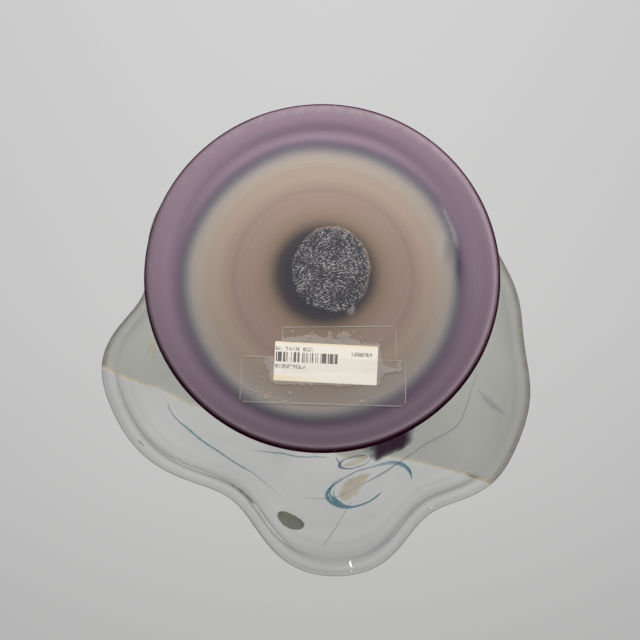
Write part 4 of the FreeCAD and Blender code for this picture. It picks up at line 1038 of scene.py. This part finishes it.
def tape_attr(w, h, loops):
    def f(X, Y, lx, ly):
        d = inside_dist(X + 0.25 * lumps(X, Y, 33, 2.2), Y + 0.25 * lumps(X, Y, 34, 2.2), CLOUD)
        c = smooth(-0.12, 0.22, d)
        la = math.radians(LABEL_AT[2])
        px = (X - LABEL_AT[0]) * math.cos(la) + (Y - LABEL_AT[1]) * math.sin(la)
        py = -(X - LABEL_AT[0]) * math.sin(la) + (Y - LABEL_AT[1]) * math.cos(la)
        c = c * (1 - smooth(-0.15, 0.15, np.minimum(21.2 - np.abs(px), 8.1 - np.abs(py))))
        for bx, by, br in BLOBS:
            rr = np.hypot(X - bx, (Y - by) * 1.15) * (1 + 0.25 * lumps(X * 3, Y * 3, 40, 1.0))
            c = np.maximum(c, 0.9 * smooth(br * 1.15, br * 0.75, rr))
        e = np.minimum(w / 2 - np.abs(lx), h / 2 - np.abs(ly))
        on_label = smooth(-0.1, 0.3, np.minimum(21.2 - np.abs(px), 8.1 - np.abs(py)))
        yel = np.exp(-((X + 20.9) / 0.42) ** 2 - ((Y - 51.2) / 0.95) ** 2)
        return {"cloud": c, "yel": np.clip(1.6 * yel, 0, 1), "edge": smooth(0.34, 0.05, e) * (1 - 0.97 * on_label)}
    return f


plate("Clear_tape_upper", TAPE_A_AT, 47.0, 19.0, 0.575, 0.625, 236, 96, M_tape, "tape_strip_upper",
      tape_attr(47.0, 19.0, 0), lambda lx, ly: 0.012 * lumps(lx, ly, 22, 0.5), 0.5)
plate("Clear_tape_lower", TAPE_B_AT, 67.6, 19.0, 0.475, 0.525, 338, 96, M_tape, "tape_strip_lower",
      tape_attr(67.6, 19.0, 0), lambda lx, ly: 0.012 * lumps(lx, ly, 23, 0.5), 2.0)

# ------------------------------------------------------------------ CAD nodes that stay, with glass of their own
KEEP = {
    "purple_gather": inner_material("purple_gather_glass", lin(70, 40, 64), lin(96, 66, 88), 0.22, 40.0),
    "cream_opal_lining": inner_material("cream_opal_glass", lin(214, 200, 182), lin(196, 178, 160), 0.16, 26.0),
    "dark_core": inner_material("dark_core_glass", lin(52, 48, 56), lin(70, 64, 68), 0.2, 60.0),
}
for name, mat in KEEP.items():
    ob = nodes[name]
    if not ob.material_slots:
        ob.data.materials.append(mat)
    for s in ob.material_slots:
        s.material = mat

# ------------------------------------------------------------------ stage, light and camera
def area(name, loc, aim, size, power, colour, hide=True):
    d = bpy.data.lights.new(name, "AREA")
    d.shape = "DISK"
    d.size = size
    d.energy = power
    d.color = colour
    o = bpy.data.objects.new(name, d)
    bpy.context.scene.collection.objects.link(o)
    from mathutils import Vector
    o.location = loc
    o.rotation_mode = "QUATERNION"
    o.rotation_quaternion = (Vector(aim) - Vector(loc)).to_track_quat("-Z", "Y")
    if hide:
        o.visible_camera = False
        o.visible_transmission = False
        o.visible_glossy = False
    return o


area("soft_below", (0.0, -0.22, -0.17), (0.0, 0.02, 0.0), 0.16, 1.28, (1.0, 0.99, 0.975))
glint = area("window_glint", (0.435, 0.535, -0.33), (0.018, 0.134, 0.22), 0.03, 0.05, (1.0, 1.0, 1.0))
glint.visible_glossy = True
glint.visible_diffuse = False
area("soft_above", (0.45, -0.60, 1.15), (0.0, 0.0, 0.12), 0.80, 14.0, (1.0, 0.99, 0.975))

floor_me = bpy.data.meshes.new("Floor")
fz = -0.0005
R_ = 4.0
ringn = 96
fv = [(0.0, 0.0, fz)] + [(R_ * math.cos(2 * math.pi * i / ringn), R_ * math.sin(2 * math.pi * i / ringn), fz) for i in range(ringn)]
ff = [(0, i + 1, (i + 1) % ringn + 1) for i in range(ringn)]
floor_me.from_pydata(fv, [], ff)
floor = bpy.data.objects.new("Floor", floor_me)
bpy.context.scene.collection.objects.link(floor)
k = Nt("pale_floor")
fn = k.noise(k.map(k.obj(), (6, 6, 6)), 1.0, 3.0, 0.5)
k.set(Base_Color=k.mix(fn, (0.70, 0.70, 0.69), (0.74, 0.74, 0.73)))
k.bsdf.inputs["Roughness"].default_value = 0.75
k.bsdf.inputs["Specular IOR Level"].default_value = 0.2
tr = k.n("ShaderNodeBsdfTransparent")
mx = k.n("ShaderNodeMixShader")
geo = k.n("ShaderNodeNewGeometry")
k.t.links.new(geo.outputs["Backfacing"], mx.inputs[0])
k.t.links.new(k.bsdf.outputs[0], mx.inputs[1])
k.t.links.new(tr.outputs[0], mx.inputs[2])
k.t.links.new(mx.outputs[0], k.out.inputs["Surface"])
floor_me.materials.append(k.mat)
floor.visible_shadow = False
floor.visible_diffuse = False
floor.visible_glossy = False

world = bpy.data.worlds.new("Studio")
bpy.context.scene.world = world
world.use_nodes = True
wt = world.node_tree
bg = wt.nodes["Background"]


class Wt(Nt):
    def __init__(self, tree):
        self.t = tree
        self._o = None


w = Wt(wt)
g = w.n("ShaderNodeTexCoord").outputs["Generated"]
sx, sy, sz = w.sep(g)
# overhead: brightest towards -Y, falling off towards +Y and to the sides, as on a lit table top
over = w.ramp(w.rng(sy, -0.60, 0.40, 0.0, 1.0), [(0.0, (0.625, 0.625, 0.622)), (0.14, (0.645, 0.645, 0.643)), (0.44, (0.605, 0.603, 0.60)),
                                                   (0.60, (0.555, 0.553, 0.55)), (0.74, (0.492, 0.490, 0.487)), (1.0, (0.44, 0.44, 0.44))])
xx = w.m("MULTIPLY", sx, sx)
over = w.mix(w.m("MULTIPLY", w.rng(xx, 0.0, 0.10, 0.0, 1.0), 0.75, clamp=True), over, w.mix(1.0, over, (0.895, 0.895, 0.90), "MULTIPLY"))
side_c = (0.60, 0.60, 0.60)
band_c = (0.33, 0.332, 0.335)
low_c = (0.50, 0.50, 0.51)
deep_c = (0.10, 0.10, 0.10)
c1 = w.mix(w.step(0.34, 0.56, sz), side_c, band_c)
axis = w.m("ADD", w.m("MULTIPLY", sy, -0.168), w.m("MULTIPLY", sz, 0.986))
c1 = w.mix(w.step(0.86, 0.912, axis), c1, over)
c1 = w.mix(w.step(-0.02, -0.30, sz), c1, low_c)
c1 = w.mix(w.step(-0.35, -0.75, sz), c1, deep_c)
w.put(bg.inputs["Color"], c1)
bg.inputs["Strength"].default_value = 1.0

cam_d = bpy.data.cameras.new("Camera")
cam_d.lens = 56.25
cam_d.sensor_width = 36.0
cam = bpy.data.objects.new("Camera", cam_d)
bpy.context.scene.collection.objects.link(cam)
e = math.radians(80.33)
from mathutils import Matrix
rt, up, back = (1.0, 0.0, 0.0), (0.0, -math.sin(e), -math.cos(e)), (0.0, math.cos(e), -math.sin(e))
cam.matrix_world = Matrix(((rt[0], up[0], back[0], -0.00092), (rt[1], up[1], back[1], 0.0895),
                           (rt[2], up[2], back[2], -0.4065), (0, 0, 0, 1)))
cam_d.clip_start, cam_d.clip_end = 0.01, 50.0
sc = bpy.context.scene
sc.camera = cam
sc.view_settings.view_transform = "Standard"
sc.cycles.use_denoising = True
sc.cycles.transparent_max_bounces = 32

bpy.context.view_layer.update()
